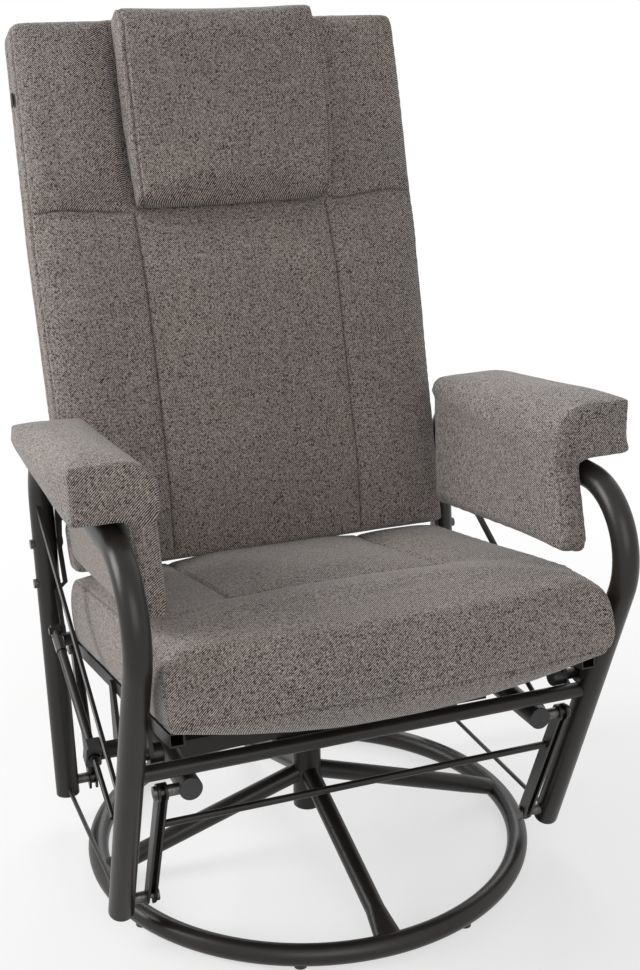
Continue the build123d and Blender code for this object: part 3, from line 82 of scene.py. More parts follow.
# ---------------------------------------------------------------- shader building
class Nodes:
    """A node tree, built step by step."""

    def __init__(self, tree: bpy.types.NodeTree) -> None:
        """Empties the tree."""
        self.tree = tree
        self.tree.nodes.clear()

    def node(self, kind: str, **settings: object) -> bpy.types.Node:
        """Adds a node.

        Args:
            kind: the node's type name.
            settings: attributes to set on it.

        Returns:
            The new node.
        """
        made = self.tree.nodes.new(kind)
        for key, value in settings.items():
            setattr(made, key, value)
        return made

    def link(self, source: Socket, target: Socket) -> None:
        """Joins an output to an input."""
        self.tree.links.new(source, target)

    def any_of(self, *flags: Socket) -> Socket:
        """Returns the socket of the largest of some flags."""
        most = flags[0]
        for flag in flags[1:]:
            larger = self.node("ShaderNodeMath", operation="MAXIMUM")
            self.link(most, larger.inputs[0])
            self.link(flag, larger.inputs[1])
            most = larger.outputs[0]
        return most

    def mixed(self, fac: Socket, first: Socket, second: Socket) -> Socket:
        """Returns the socket of a shader that goes from the first to the second as the factor rises."""
        made = self.node("ShaderNodeMixShader")
        for source, target in zip((fac, first, second), made.inputs):
            self.link(source, target)
        return made.outputs[0]


class Shader(Nodes):
    """One node material around a Principled surface."""

    def __init__(self, name: str) -> None:
        """Starts with a surface, an output and object-space places."""
        self.material = bpy.data.materials.new(name)
        self.material.use_nodes = True
        super().__init__(self.material.node_tree)
        self.output = self.node("ShaderNodeOutputMaterial")
        self.surface = self.node("ShaderNodeBsdfPrincipled")
        self.link(self.surface.outputs["BSDF"], self.output.inputs["Surface"])
        self.place = self.node("ShaderNodeTexCoord").outputs["Object"]

    def noise(self, scale: float, detail: float = 2.0, rough: float = 0.5) -> Socket:
        """Adds object-space noise.

        Args:
            scale: cells per metre.
            detail: octaves.
            rough: weight of the finer octaves.

        Returns:
            The factor's socket.
        """
        made = self.node("ShaderNodeTexNoise")
        self.link(self.place, made.inputs["Vector"])
        made.inputs["Scale"].default_value = scale
        made.inputs["Detail"].default_value = detail
        made.inputs["Roughness"].default_value = rough
        return made.outputs["Fac"]

    def bands(self, way: str, scale: float, distortion: float) -> bpy.types.Node:
        """Adds object-space wave bands.

        Args:
            way: the direction they follow one another in.
            scale: how close they lie.
            distortion: how uneven they are.

        Returns:
            The wave's node.
        """
        made = self.node("ShaderNodeTexWave", wave_type="BANDS", bands_direction=way)
        self.link(self.place, made.inputs["Vector"])
        made.inputs["Scale"].default_value = scale
        made.inputs["Distortion"].default_value = distortion
        return made

    def ramp(self, source: Socket, stops: Sequence[tuple[float, Colour]]) -> Socket:
        """Maps a factor to colours.

        Args:
            source: the factor.
            stops: (position, colour) pairs, in order.

        Returns:
            The colour's socket.
        """
        made = self.node("ShaderNodeValToRGB")
        band = made.color_ramp
        while len(band.elements) < len(stops):
            band.elements.new(0.5)
        for element, (position, colour) in zip(band.elements, stops):
            element.position = position
            element.color = (*colour, 1.0)
        self.link(source, made.inputs["Fac"])
        return made.outputs["Color"]

    def span(self, source: Socket, low: float, high: float) -> Socket:
        """Maps a factor from 0..1 to low..high and returns the result's socket."""
        made = self.node("ShaderNodeMapRange")
        self.link(source, made.inputs["Value"])
        made.inputs["To Min"].default_value = low
        made.inputs["To Max"].default_value = high
        return made.outputs["Result"]

    def stretch(self, source: Socket, low: float, high: float, kind: str = "LINEAR") -> Socket:
        """Maps a factor from low..high to 0..1 and returns the result's socket."""
        made = self.node("ShaderNodeMapRange", interpolation_type=kind)
        self.link(source, made.inputs["Value"])
        made.inputs["From Min"].default_value = low
        made.inputs["From Max"].default_value = high
        return made.outputs["Result"]

    def sum(self, first: Socket, second: Socket, share: float) -> Socket:
        """Returns the socket of first + second * share."""
        made = self.node("ShaderNodeMath", operation="MULTIPLY_ADD")
        self.link(second, made.inputs[0])
        made.inputs[1].default_value = share
        self.link(first, made.inputs[2])
        return made.outputs["Value"]

    def mix(self, fac: Socket | float, first: object, second: object, blend: str = "MIX") -> Socket:
        """Mixes two colours.

        Args:
            fac: a socket or a fixed share of the second.
            first: a socket or a colour.
            second: a socket or a colour.
            blend: the blend mode's name.

        Returns:
            The mixed colour's socket.
        """
        made = self.node("ShaderNodeMix", data_type="RGBA", blend_type=blend)
        for value, target in ((fac, made.inputs[0]), (first, made.inputs[6]), (second, made.inputs[7])):
            if isinstance(value, Socket):
                self.link(value, target)
            elif isinstance(value, tuple):
                target.default_value = (*value, 1.0)
            else:
                target.default_value = value
        return made.outputs[2]

    def bump(self, height: Socket, distance: float, strength: float = 1.0) -> None:
        """Gives the surface relief from a height socket, in metres of distance."""
        made = self.node("ShaderNodeBump")
        self.link(height, made.inputs["Height"])
        made.inputs["Distance"].default_value = distance
        made.inputs["Strength"].default_value = strength
        self.link(made.outputs["Normal"], self.surface.inputs["Normal"])

    def cover(self, colour: Socket, rough: Socket) -> None:
        """Feeds the surface its colour and its roughness."""
        self.link(colour, self.surface.inputs["Base Color"])
        self.link(rough, self.surface.inputs["Roughness"])

    def fixed(self, **values: object) -> None:
        """Sets constants on the surface's own sockets, underscores standing for spaces."""
        for key, value in values.items():
            self.surface.inputs[key.replace("_", " ")].default_value = value


# ---------------------------------------------------------------- finishes
@dataclass(frozen=True)
class Finish:
    """A surface finish that makes its own material."""

    name: str

    def paint(self, s: Shader) -> None:
        """Sets the shader up."""

    def material(self) -> Material:
        """Builds the finish.

        Returns:
            The material.
        """
        s = Shader(self.name)
        self.paint(s)
        return s.material


@dataclass(frozen=True)
class HeatheredTwill(Finish):
    """Coarse grey-brown upholstery twill of light and dark yarns, its ribs rising to the right."""

    name: str = "heathered_twill"
    dark: Colour = (0.009, 0.007, 0.006)
    middle: Colour = (0.106, 0.091, 0.084)
    light: Colour = (0.520, 0.465, 0.432)
    # painted shade: the dark colour laid along the bottom of each sewn groove
    painted_seam_shade: Colour = (0.022, 0.018, 0.017)
    yarns: float = 430.0
    ribs: float = 200.0
    slub_share: float = 0.14
    rib_share: float = 0.50
    contrast: tuple[float, float] = (0.64, 1.00)
    relief: float = 0.0007

    def paint(self, s: Shader) -> None:
        """Paints the twill."""
        turned = s.node("ShaderNodeMapping")
        turned.inputs["Scale"].default_value = (-1.0, 1.0, 1.0)
        s.link(s.place, turned.inputs["Vector"])
        twill = s.bands("DIAGONAL", self.ribs, 2.0)
        s.link(turned.outputs["Vector"], twill.inputs["Vector"])
        twill.inputs["Detail"].default_value = 1.0
        twill.inputs["Detail Scale"].default_value = 0.4
        yarn = s.noise(self.yarns, 1.0, 0.5)
        slub = s.noise(self.yarns * 0.3, 2.0, 0.6)
        patch = s.noise(6.0, 3.0, 0.55)
        heather = s.sum(s.sum(yarn, slub, self.slub_share), twill.outputs["Fac"], self.rib_share)
        spread = s.stretch(heather, *self.contrast)
        colour = s.ramp(spread, ((0.08, self.dark), (0.50, self.middle), (0.95, self.light)))
        tint = s.ramp(patch, ((0.3, (0.91, 0.92, 0.95)), (0.7, (1.08, 1.05, 1.01))))
        toned = s.mix(1.0, colour, tint, "MULTIPLY")
        # painted shade: the colour goes to the dark seam colour where the seam_shade attribute marks a
        # groove's bottom
        seam_shade_mask = s.node("ShaderNodeAttribute", attribute_name="seam_shade")
        shaded = s.mix(seam_shade_mask.outputs["Fac"], toned, self.painted_seam_shade)
        s.cover(shaded, s.span(yarn, 0.84, 0.98))
        s.bump(heather, self.relief)
        s.fixed(Sheen_Weight=0.30, Sheen_Roughness=0.45, Specular_IOR_Level=0.2)


@dataclass(frozen=True)
class PowderCoat(Finish):
    """Satin brown-black powder coat with a fine orange peel, rubbed a little."""

    name: str = "powder_coat_satin"
    colour: Colour = (0.0095, 0.0078, 0.0068)
    worn: Colour = (0.020, 0.0165, 0.0145)
    low: float = 0.27
    high: float = 0.40

    def paint(self, s: Shader) -> None:
        """Paints the coat."""
        cloud = s.noise(11.0, 4.0, 0.6)
        grain = s.noise(1500.0, 2.0, 0.5)
        peel = s.noise(420.0, 1.0, 0.5)
        colour = s.ramp(s.sum(cloud, grain, 0.18), ((0.35, self.colour), (0.86, self.worn)))
        s.cover(colour, s.span(s.sum(cloud, grain, 0.25), self.low, self.high))
        s.bump(s.sum(peel, grain, 0.35), 0.00010, 0.7)
        s.fixed(Specular_IOR_Level=0.36)


@dataclass(frozen=True)
class MouldedPlastic(Finish):
    """Black moulded plastic with a fine spark-eroded grain."""

    name: str = "moulded_plastic"
    colour: Colour = (0.016, 0.015, 0.015)
    low: float = 0.42
    high: float = 0.58

    def paint(self, s: Shader) -> None:
        """Paints the plastic."""
        grain = s.noise(1100.0, 2.0, 0.6)
        cloud = s.noise(24.0, 3.0, 0.5)
        pale = tuple(2.1 * c for c in self.colour)
        s.cover(s.ramp(cloud, ((0.3, self.colour), (0.8, pale))), s.span(grain, self.low, self.high))
        s.bump(grain, 0.00012, 0.8)
        s.fixed(Specular_IOR_Level=0.5)


@dataclass(frozen=True)
class BlackenedSteel(Finish):
    """Blackened steel of pins and bolts, with turning marks."""

    name: str = "blackened_steel"
    dark: Colour = (0.045, 0.043, 0.042)
    bright: Colour = (0.20, 0.19, 0.18)

    def paint(self, s: Shader) -> None:
        """Paints the steel."""
        rings = s.bands("X", 420.0, 4.0)
        scuffs = s.noise(130.0, 5.0, 0.7)
        s.cover(s.ramp(scuffs, ((0.35, self.dark), (0.75, self.bright))), s.span(scuffs, 0.28, 0.5))
        s.bump(s.sum(rings.outputs["Fac"], scuffs, 0.5), 0.00006, 0.6)
        s.fixed(Metallic=0.85)


@dataclass(frozen=True)
class GlossyLacquer(Finish):
    """Deep black gloss of the lock's collar."""

    name: str = "glossy_lacquer"
    colour: Colour = (0.009, 0.009, 0.010)
    hazy: Colour = (0.02, 0.02, 0.021)

    def paint(self, s: Shader) -> None:
        """Paints the lacquer."""
        haze = s.noise(60.0, 3.0, 0.6)
        s.cover(s.ramp(haze, ((0.3, self.colour), (0.9, self.hazy))), s.span(haze, 0.08, 0.17))
        s.bump(haze, 0.00004, 0.4)
        s.fixed(Coat_Weight=0.9, Coat_Roughness=0.06)


@dataclass(frozen=True)
class RibbedWebbing(Finish):
    """Dark elastic webbing, woven in fine cords."""

    name: str = "ribbed_webbing"
    dark: Colour = (0.013, 0.012, 0.012)
    light: Colour = (0.060, 0.056, 0.053)
    cords: float = 190.0
    way: str = "Y"

    def paint(self, s: Shader) -> None:
        """Paints the webbing."""
        ribs = s.bands(self.way, self.cords, 0.6)
        fuzz = s.noise(900.0, 2.0, 0.7)
        both = s.sum(fuzz, ribs.outputs["Fac"], 0.5)
        s.cover(s.ramp(both, ((0.35, self.dark), (0.95, self.light))), s.span(fuzz, 0.75, 0.95))
        s.bump(both, 0.0004)
        s.fixed(Sheen_Weight=0.15, Specular_IOR_Level=0.25)


@dataclass(frozen=True)
class StainedPlywood(Finish):
    """Black-stained plywood of the boards under the arm pads, in thin plies."""

    name: str = "stained_plywood"
    pale: Colour = (0.045, 0.037, 0.031)
    dark: Colour = (0.016, 0.013, 0.011)

    def paint(self, s: Shader) -> None:
        """Paints the plywood."""
        plies = s.bands("Z", 180.0, 0.4)
        grain = s.noise(260.0, 4.0, 0.65)
        both = s.sum(grain, plies.outputs["Fac"], 0.55)
        s.cover(s.ramp(both, ((0.3, self.dark), (0.9, self.pale))), s.span(grain, 0.6, 0.8))
        s.bump(both, 0.0002)


# ---------------------------------------------------------------- frames of the cushions
@dataclass(frozen=True)
class Incline:
    """A cushion's own frame in side view: across, rearward along its tilt, and out square to that."""

    y: float
    z: float
    tilt: float

    def axes(self) -> Array:
        """Rows are the directions across, rearward and out."""
        a = math.radians(self.tilt)
        return np.array([[1, 0, 0], [0, math.cos(a), -math.sin(a)], [0, math.sin(a), math.cos(a)]])

    def local(self, points: Array) -> Array:
        """Object-space points as (across, rearward, out)."""
        return (points - np.array([0, self.y, self.z])) @ self.axes().T

    def world(self, points: Array) -> Array:
        """Points given as (across, rearward, out) in object space."""
        return points @ self.axes() + np.array([0, self.y, self.z])


SEAT = Incline(-0.1365, 0.430, 11.0)
BACK = Incline(0.1225, 0.385, 15.3)
ARMS = Incline(-0.0175, 0.0, 0.0)


# ---------------------------------------------------------------- mesh handling
def placed(name: str, data: bpy.types.ID) -> Object:
    """Puts a new object with this data into the scene and returns it."""
    made = bpy.data.objects.new(name, data)
    bpy.context.scene.collection.objects.link(made)
    return made


def meshed(name: str, build: bmesh.types.BMesh) -> bpy.types.Mesh:
    """Turns what was built into a mesh of that name, and frees it."""
    mesh = bpy.data.meshes.new(name)
    build.to_mesh(mesh)
    build.free()
    return mesh


def smoothed(mesh: bpy.types.Mesh) -> None:
    """Shades every face smooth."""
    mesh.polygons.foreach_set("use_smooth", [True] * len(mesh.polygons))


class Skin:
    """The mesh of one soft piece, read and written as arrays."""

    def __init__(self, obj: Object) -> None:
        """Wraps an object whose transform is the identity."""
        self.obj = obj

    @property
    def mesh(self) -> bpy.types.Mesh:
        """The object's present mesh."""
        return self.obj.data

    def points(self) -> Array:
        """All points, one row each."""
        co = np.empty(len(self.mesh.vertices) * 3)
        self.mesh.vertices.foreach_get("co", co)
        return co.reshape(-1, 3)

    def normals(self) -> Array:
        """The direction out of the surface at each point."""
        out = np.empty(len(self.mesh.vertices) * 3, np.float32)
        self.mesh.vertex_normals.foreach_get("vector", out)
        return out.reshape(-1, 3).astype(float)

    def write(self, points: Array) -> None:
        """Moves the points."""
        self.mesh.vertices.foreach_set("co", points.astype(np.float32).ravel())
        self.mesh.update()

    def bake(self) -> None:
        """Replaces the mesh by what the modifiers make of it, and drops the modifiers."""
        graph = bpy.context.evaluated_depsgraph_get()
        made = bpy.data.meshes.new_from_object(self.obj.evaluated_get(graph))
        self.obj.modifiers.clear()
        old = self.obj.data
        self.obj.data = made
        bpy.data.meshes.remove(old)

    def voxels(self, size: float) -> None:
        """Rebuilds the mesh as an even closed skin of that size."""
        weld = bmesh.new()
        weld.from_mesh(self.mesh)
        bmesh.ops.remove_doubles(weld, verts=weld.verts, dist=1e-6)
        weld.to_mesh(self.mesh)
        weld.free()
        remesh = self.obj.modifiers.new("even", "REMESH")
        remesh.mode = "VOXEL"
        remesh.voxel_size = size
        self.bake()

    def finer(self) -> None:
        """Divides every face once, smoothly."""
        made = self.obj.modifiers.new("finer", "SUBSURF")
        made.levels = 1
        made.render_levels = 1
        self.bake()

    def finer_at(self, chosen: Array) -> None:
        """Divides the edges between chosen points once more, for sharp seams.

        Args:
            chosen: true for each point near a seam.
        """
        build = bmesh.new()
        build.from_mesh(self.mesh)
        build.verts.ensure_lookup_table()
        edges = [e for e in build.edges if chosen[e.verts[0].index] and chosen[e.verts[1].index]]
        bmesh.ops.subdivide_edges(build, edges=edges, cuts=1, use_grid_fill=True)
        build.to_mesh(self.mesh)
        build.free()

    def relax(self, rounds: int, share: float = 0.5) -> None:
        """Evens the points out.

        Args:
            rounds: how many times.
            share: how far each point moves to the mean of its neighbours.
        """
        count = len(self.mesh.vertices)
        ends = np.empty(len(self.mesh.edges) * 2, np.int32)
        self.mesh.edges.foreach_get("vertices", ends)
        a, b = ends.reshape(-1, 2).T
        near = np.bincount(ends, minlength=count).clip(1)
        co = self.points()
        for _ in range(rounds):
            mean = np.empty_like(co)
            for k in range(3):
                mean[:, k] = np.bincount(a, co[b, k], count) + np.bincount(b, co[a, k], count)
            co += share * (mean / near[:, None] - co)
        self.write(co)

    def tree(self) -> BVHTree:
        """A search tree over the faces."""
        faces = [tuple(p.vertices) for p in self.mesh.polygons]
        return BVHTree.FromPolygons([v.co[:] for v in self.mesh.vertices], faces)


@dataclass(frozen=True)
class Seam:
    """A sewn line or a crease on a cushion, given in the cushion's own frame in metres."""

    path: tuple[Spot, ...]
    depth: float = 0.0035
    width: float = 0.0034
    shade: float = 0.55
    pucker: float = 0.0006
    pitch: float = 0.021
    held: bool = True

    def samples(self, incline: Incline, skin: BVHTree, step: float = 0.0015) -> Array:
        """Walks the path and drops it on the surface.

        Args:
            incline: the cushion's frame.
            skin: the cushion's surface.
            step: spacing of the samples.

        Returns:
            The samples in object space.
        """
        corners = np.array(self.path)
        walked: list[Array] = []
        for start, end in zip(corners[:-1], corners[1:]):
            count = max(2, int(np.linalg.norm(end - start) / step))
            walked.append(start + (end - start) * np.linspace(0, 1, count, endpoint=False)[:, None])
        walked.append(corners[-1:])
        dropped = [skin.find_nearest(Vector(p))[0] for p in incline.world(np.concatenate(walked))]
        return np.array([p[:] for p in dropped if p is not None])


def nearest(points: Array, samples: Array, reach: float) -> tuple[Array, Array]:
    """Finds each point's nearest sample.

    Args:
        points: the points, one row each.
        samples: the samples along a line.
        reach: how far to look.

    Returns:
        The distances, reach where nothing is nearer, and the places along the line in metres.
    """
    steps = np.linalg.norm(np.diff(samples, axis=0), axis=1)
    along = np.concatenate(([0.0], np.cumsum(steps)))
    tree = KDTree(len(samples))
    for index, sample in enumerate(samples):
        tree.insert(sample, index)
    tree.balance()
    far = np.full(len(points), reach)
    place = np.zeros(len(points))
    low, high = samples.min(0) - reach, samples.max(0) + reach
    for index in np.flatnonzero(np.all((points > low) & (points < high), axis=1)):
        _, which, distance = tree.find(points[index])
        if distance < reach:
            far[index] = distance
            place[index] = along[which]
    return far, place


def smooth(value: Array | float, low: float, high: float) -> Array:
    """Rises smoothly from 0 at low to 1 at high."""
    t = np.clip((value - low) / (high - low), 0, 1)
    return t * t * (3 - 2 * t)


def cells(points: Array, scale: float, seed: float) -> Array:
    """Smooth noise from -1 to 1 at each point, with that many cells a metre."""
    shift = Vector((seed, seed * 1.7, -seed))
    return np.array([noise.noise(Vector(p) * scale + shift) for p in points])


# ---------------------------------------------------------------- upholstery
@dataclass
class Cushion:
    """A stuffed piece: starts inside its solid, swells under pressure, and is then sewn."""

    name: str
    node: str
    body: str
    incline: Incline
    voxel: float = 0.005
    slack: float = 0.004
    swell: float = 0.010
    gain: float = 1.8  # the stiff cloth stops short of the full swell, so its travel counts this much
    fill: float = 0.6
    rumple: float = 0.0009
    seams: list[Seam] = field(default_factory=list)
    seed: float = 1.0
    obj: Object = field(init=False)
    skin: Skin = field(init=False)
    start: Array = field(init=False)
    free: Array = field(init=False)
    grip: Array = field(init=False)

    def stuffed(self, local: Array) -> Array:
        """Moves points in the cushion's frame to where the stuffing fills the cover out."""
        return local

    def freedom(self, local: Array) -> Array:
        """How far each point may swell, from 0, where the piece rests on another, to 1."""
        return np.ones(len(local))

    def cut(self, nodes: Objects) -> None:
        """Takes the solid's shape as an even skin, drawn in where it may swell."""
        self.obj = placed(self.name, nodes[self.node].data.copy())
        self.skin = Skin(self.obj)
        self.skin.voxels(self.voxel)
        self.skin.relax(3)
        self.skin.write(self.incline.world(self.stuffed(self.incline.local(self.skin.points()))))
        co = self.skin.points()
        self.free = np.clip(self.freedom(self.incline.local(co)), 0, 1)
        co -= self.skin.normals() * (self.slack * self.free)[:, None]
        self.skin.write(co)
        self.start = self.skin.points()
        grip = np.zeros(len(co))
        tree = self.skin.tree()
        for seam in self.seams:
            if seam.held:
                far, _ = nearest(self.start, seam.samples(self.incline, tree), GRIP_REACH)
                grip = np.maximum(grip, 1 - smooth(far, *GRIP_FADE))
        self.grip = np.maximum(grip, 1 - smooth(self.free, 0.02, 0.2))

    def hang(self) -> None:
        """Adds the cloth that swells the piece, pinned along its seams and where it rests."""
        group = self.obj.vertex_groups.new(name="held")
        for index in np.flatnonzero(self.grip > 0.01):
            group.add([int(index)], float(self.grip[index]), "REPLACE")
        cloth = self.obj.modifiers.new("stuffing", "CLOTH")
        cloth.point_cache.frame_start = 1
        cloth.point_cache.frame_end = 20
        for key, value in CLOTH.items():
            setattr(cloth.settings, key, value)
        cloth.settings.effector_weights.gravity = 0
        cloth.settings.vertex_group_mass = group.name
        cloth.collision_settings.use_collision = False

    def settle(self, simulated: bool) -> None:
        """Caps how far each point moved, and evens the skin.

        Args:
            simulated: whether the cloth ran; without it the points move straight out.
        """
        if simulated:
            self.skin.bake()
            moved = self.gain * (self.skin.points() - self.start)
        else:
            moved = self.skin.normals() * (self.swell * self.free * (1 - self.grip))[:, None]
        self.obj.vertex_groups.clear()
        length = np.linalg.norm(moved, axis=1).clip(1e-9)
        limit = self.swell * self.free
        self.skin.write(self.start + moved * np.minimum(1, limit / length)[:, None])
        self.skin.relax(3)
        self.skin.finer()

    def sew(self) -> None:
        """Sinks the seams and creases, with small puckers, and paints shade along the bottom of the sewn
        grooves.
        """
        tree = self.skin.tree()
        sewn = [seam.samples(self.incline, tree) for seam in self.seams if seam.shade > 0]
        points = self.skin.points()
        far = np.min([nearest(points, line, FINE_REACH)[0] for line in sewn], axis=0)
        self.skin.finer_at(far < FINE_REACH)
        tree = self.skin.tree()
        co = self.skin.points()
        out = self.skin.normals()
        lift = np.zeros(len(co))
        shade = np.zeros(len(co))
        for index, seam in enumerate(self.seams):
            line = seam.samples(self.incline, tree)
            far, place = nearest(co, line, SEAM_REACH)
            groove = np.exp(-((far / seam.width) ** 2))
            near = np.exp(-((far / (3.2 * seam.width)) ** 2))
            wave = np.sin(2 * math.pi * place / seam.pitch + 9 * np.sin(place * 31 + index))
            lift -= seam.depth * groove + seam.pucker * near * (0.5 + 0.5 * wave)
            # painted shade: a thin dark line along the bottom of each sewn groove, kept as seam_shade
            shade = np.maximum(shade, seam.shade * np.exp(-((far / (0.45 * seam.width)) ** 2)))
        lift += self.rumple * cells(co, 9.0, self.seed) + 0.3 * self.rumple * cells(co, 34.0, self.seed + 5)
        freedom = np.clip(self.freedom(self.incline.local(co)), 0.0, 1)
        lift = np.where(lift > 0, lift * freedom, lift)
        self.skin.write(co + out * lift[:, None])
        layer = self.skin.mesh.attributes.new("seam_shade", "FLOAT", "POINT")
        layer.data.foreach_set("value", shade.astype(np.float32))

    def dress(self, cloth: Material) -> None:
        """Gives the piece its cover and sets it on its body in place of the solid."""
        self.obj.data.materials.clear()
        self.obj.data.materials.append(cloth)
        smoothed(self.obj.data)
        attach(self.obj, self.body)
        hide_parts(self.node)
        log.info("%s: %d faces", self.name, len(self.obj.data.polygons))


@dataclass
class SeatCushion(Cushion):
    """Seat: sewn middle panel, rolled and bowed front, boxing seams along the sides."""

    panel: float = 0.138
    rear: float = 0.286
    half: float = 0.270
    nose: float = -0.224
    bow: float = 0.030

    def __post_init__(self) -> None:
        """Lays out the seams."""
        xs = np.linspace(-0.262, 0.262, 15)
        lip = tuple((float(x), self.front(x) + 0.012, -0.098) for x in xs)
        self.seams = [
            Seam(((-self.panel, self.rear, 0.0), (-self.panel, 0.002, 0.002)), 0.0032, 0.0032),
            Seam(((self.panel, self.rear, 0.0), (self.panel, 0.002, 0.002)), 0.0032, 0.0032),
            Seam(((-self.panel, 0.0, 0.002), (self.panel, 0.0, 0.002)), 0.0032, 0.0032),
            Seam(lip, 0.0030, 0.0028, 0.6),
        ]
        for side in (-1, 1):
            x = side * self.half
            top = (
                (x, self.rear, -0.008), (x, 0.10, -0.006), (x, -0.08, -0.006), (x, -0.140, -0.014),
                (x, self.front(x) + 0.024, -0.030), (x, self.front(x) + 0.006, -0.062),
                (x, self.front(x) + 0.014, -0.097),
            )
            low = (top[-1], (x, -0.12, -0.103), (x, 0.05, -0.103), (x, self.rear, -0.100))
            self.seams += [Seam(top, 0.0022, 0.0026, 0.5), Seam(low, 0.0026, 0.0028, 0.5)]
        for x, rear, reach in ((-0.20, -0.07, 0.035), (0.215, -0.05, 0.03), (0.05, -0.12, 0.05)):
            crease = ((x - reach, rear, 0), (x + reach, rear + 0.014, 0))
            self.seams.append(Seam(crease, 0.0012, 0.010, 0.0, 0.0, held=False))

    def front(self, x: float) -> float:
        """Rearward place of the nose at x, which bows forward in the middle."""
        radius = (self.half**2 + self.bow**2) / (2 * self.bow)
        return float(self.nose + radius - math.sqrt(radius**2 - x**2))

    def freedom(self, local: Array) -> Array:
        """The top and the nose swell, the rear end half as much, the sides a little, the underside not."""
        x, rear, out = local.T
        top = smooth(out, -0.100, -0.060)
        side = 1 - 0.78 * smooth(np.abs(x), 0.245, 0.268)
        behind = 1 - 0.45 * smooth(rear, 0.250, self.rear)
        nose = smooth(-rear, 0.14, 0.19)
        return np.maximum(top, 0.55 * nose) * side * behind


@dataclass
class BackHalf(Cushion):
    """Either half of the back, whose cover is fuller than its solid at the top and the foot."""

    rise: float = 0.007
    drop: float = 0.005

    def stuffed(self, local: Array) -> Array:
        """Lifts the top edge and lets the foot hang."""
        x, rear, up = local.T
        high = up + self.rise * smooth(up, 0.640, 0.709) - self.drop * (1 - smooth(up, 0.0, 0.06))
        return np.stack([x, rear, high], axis=1)


@dataclass
class BackCushion(BackHalf):
    """Front half of the back: three panels, cross seams on the outer two, edges sewn to a boxing."""

    panel: float = 0.135
    cross: float = 0.462

    def __post_init__(self) -> None:
        """Lays out the seams."""
        self.seams = []
        for side in (-1, 1):
            heights = np.linspace(0.006, self.cross, 12)
            down = tuple((side * self.panel, self.front(u), float(u)) for u in heights)
            over = ((0.147, 0.001), (0.175, 0.003), (0.215, 0.005), (0.258, 0.006), (0.272, 0.006))
            across = tuple((side * x, -0.010, self.cross + rise) for x, rise in over)
            edge = tuple((side * self.half(u), 0.005, float(u)) for u in np.linspace(0.008, 0.702, 14))
            self.seams += [
                Seam(down, 0.0030, 0.0030, 0.7),
                Seam(across, 0.0024, 0.0028, 0.75, 0.0003),
                Seam(edge, 0.0022, 0.0026, 0.55),
                Seam(((side * 0.152, 0.004, 0.712), (side * 0.256, 0.005, 0.712)), 0.0018, 0.0026, 0.5),
            ]
        for x, u, reach, rise, deep, wide in (
            (0.200, 0.268, 0.034, 0.002, 0.0032, 0.0060), (0.222, 0.196, 0.030, 0.010, 0.0036, 0.0070),
            (0.185, 0.318, 0.030, 0.004, 0.0014, 0.0090), (-0.20, 0.355, 0.050, 0.004, 0.0012, 0.0100),
            (-0.190, 0.140, 0.034, -0.002, 0.0030, 0.0065), (-0.21, 0.24, 0.040, 0.006, 0.0014, 0.0100),
        ):
            path = ((x - reach, self.front(u), u - rise), (x + reach, self.front(u), u + rise))
            self.seams.append(Seam(path, deep, wide, 0.0, 0.0, held=False))

    def front(self, u: float) -> float:
        """Rearward place of the front face at u, full between the foot and the seam across."""
        return -0.012 - 0.022 * math.sin(math.pi * min(u / self.cross, 1.0))

    def half(self, u: float) -> float:
        """Half-width of the edge seam at u."""
        if u < 0.42:
            return 0.2655 + 0.007 * u / 0.42
        return 0.2725 - 0.0055 * (u - 0.42) / 0.289

    def freedom(self, local: Array) -> Array:
        """The front panels swell, the sides a little, the rear face and the pillow's place not."""
        x, rear, up = local.T
        free = 1 - smooth(rear, 0.012, 0.026)
        side = 1 - 0.75 * smooth(np.abs(x), 0.250, 0.268)
        foot = smooth(up, -0.003, 0.06)
        under = smooth(up, 0.455, 0.470) * (1 - smooth(np.abs(x), 0.140, 0.152))
        return free * side * np.maximum(foot, 0.12) * (1 - 0.5 * smooth(up, 0.690, 0.712)) * (1 - under)


@dataclass
class BackPad(BackHalf):
    """Rear half of the back: one plain panel with an edge seam and a closing seam at its foot."""

    def __post_init__(self) -> None:
        """Lays out the seams."""
        self.seams = [
            Seam(((-0.235, 0.062, 0.032), (0.235, 0.062, 0.032)), 0.0018, 0.0026, 0.5, held=False),
            Seam(((-0.240, 0.056, 0.703), (0.240, 0.056, 0.703)), 0.0024, 0.0028, 0.5),
        ]
        for side in (-1, 1):
            heights = np.linspace(0.02, 0.69, 14)
            edge = tuple((side * (0.264 + 0.006 * min(u, 0.42)), 0.052, float(u)) for u in heights)
            self.seams.append(Seam(edge, 0.0024, 0.0028, 0.5))
        for x, u in ((-0.12, 0.52), (0.10, 0.33), (-0.05, 0.17)):
            path = ((x - 0.07, 0.062, u), (x + 0.07, 0.062, u + 0.02))
            self.seams.append(Seam(path, 0.0012, 0.012, 0.0, 0.0, held=False))

    def freedom(self, local: Array) -> Array:
        """The rear face swells; the front face, the sides and the foot hardly."""
        x, rear, up = local.T
        side = 1 - 0.8 * smooth(np.abs(x), 0.245, 0.267)
        return smooth(rear, 0.040, 0.056) * side * np.maximum(smooth(up, 0.0, 0.09), 0.1)


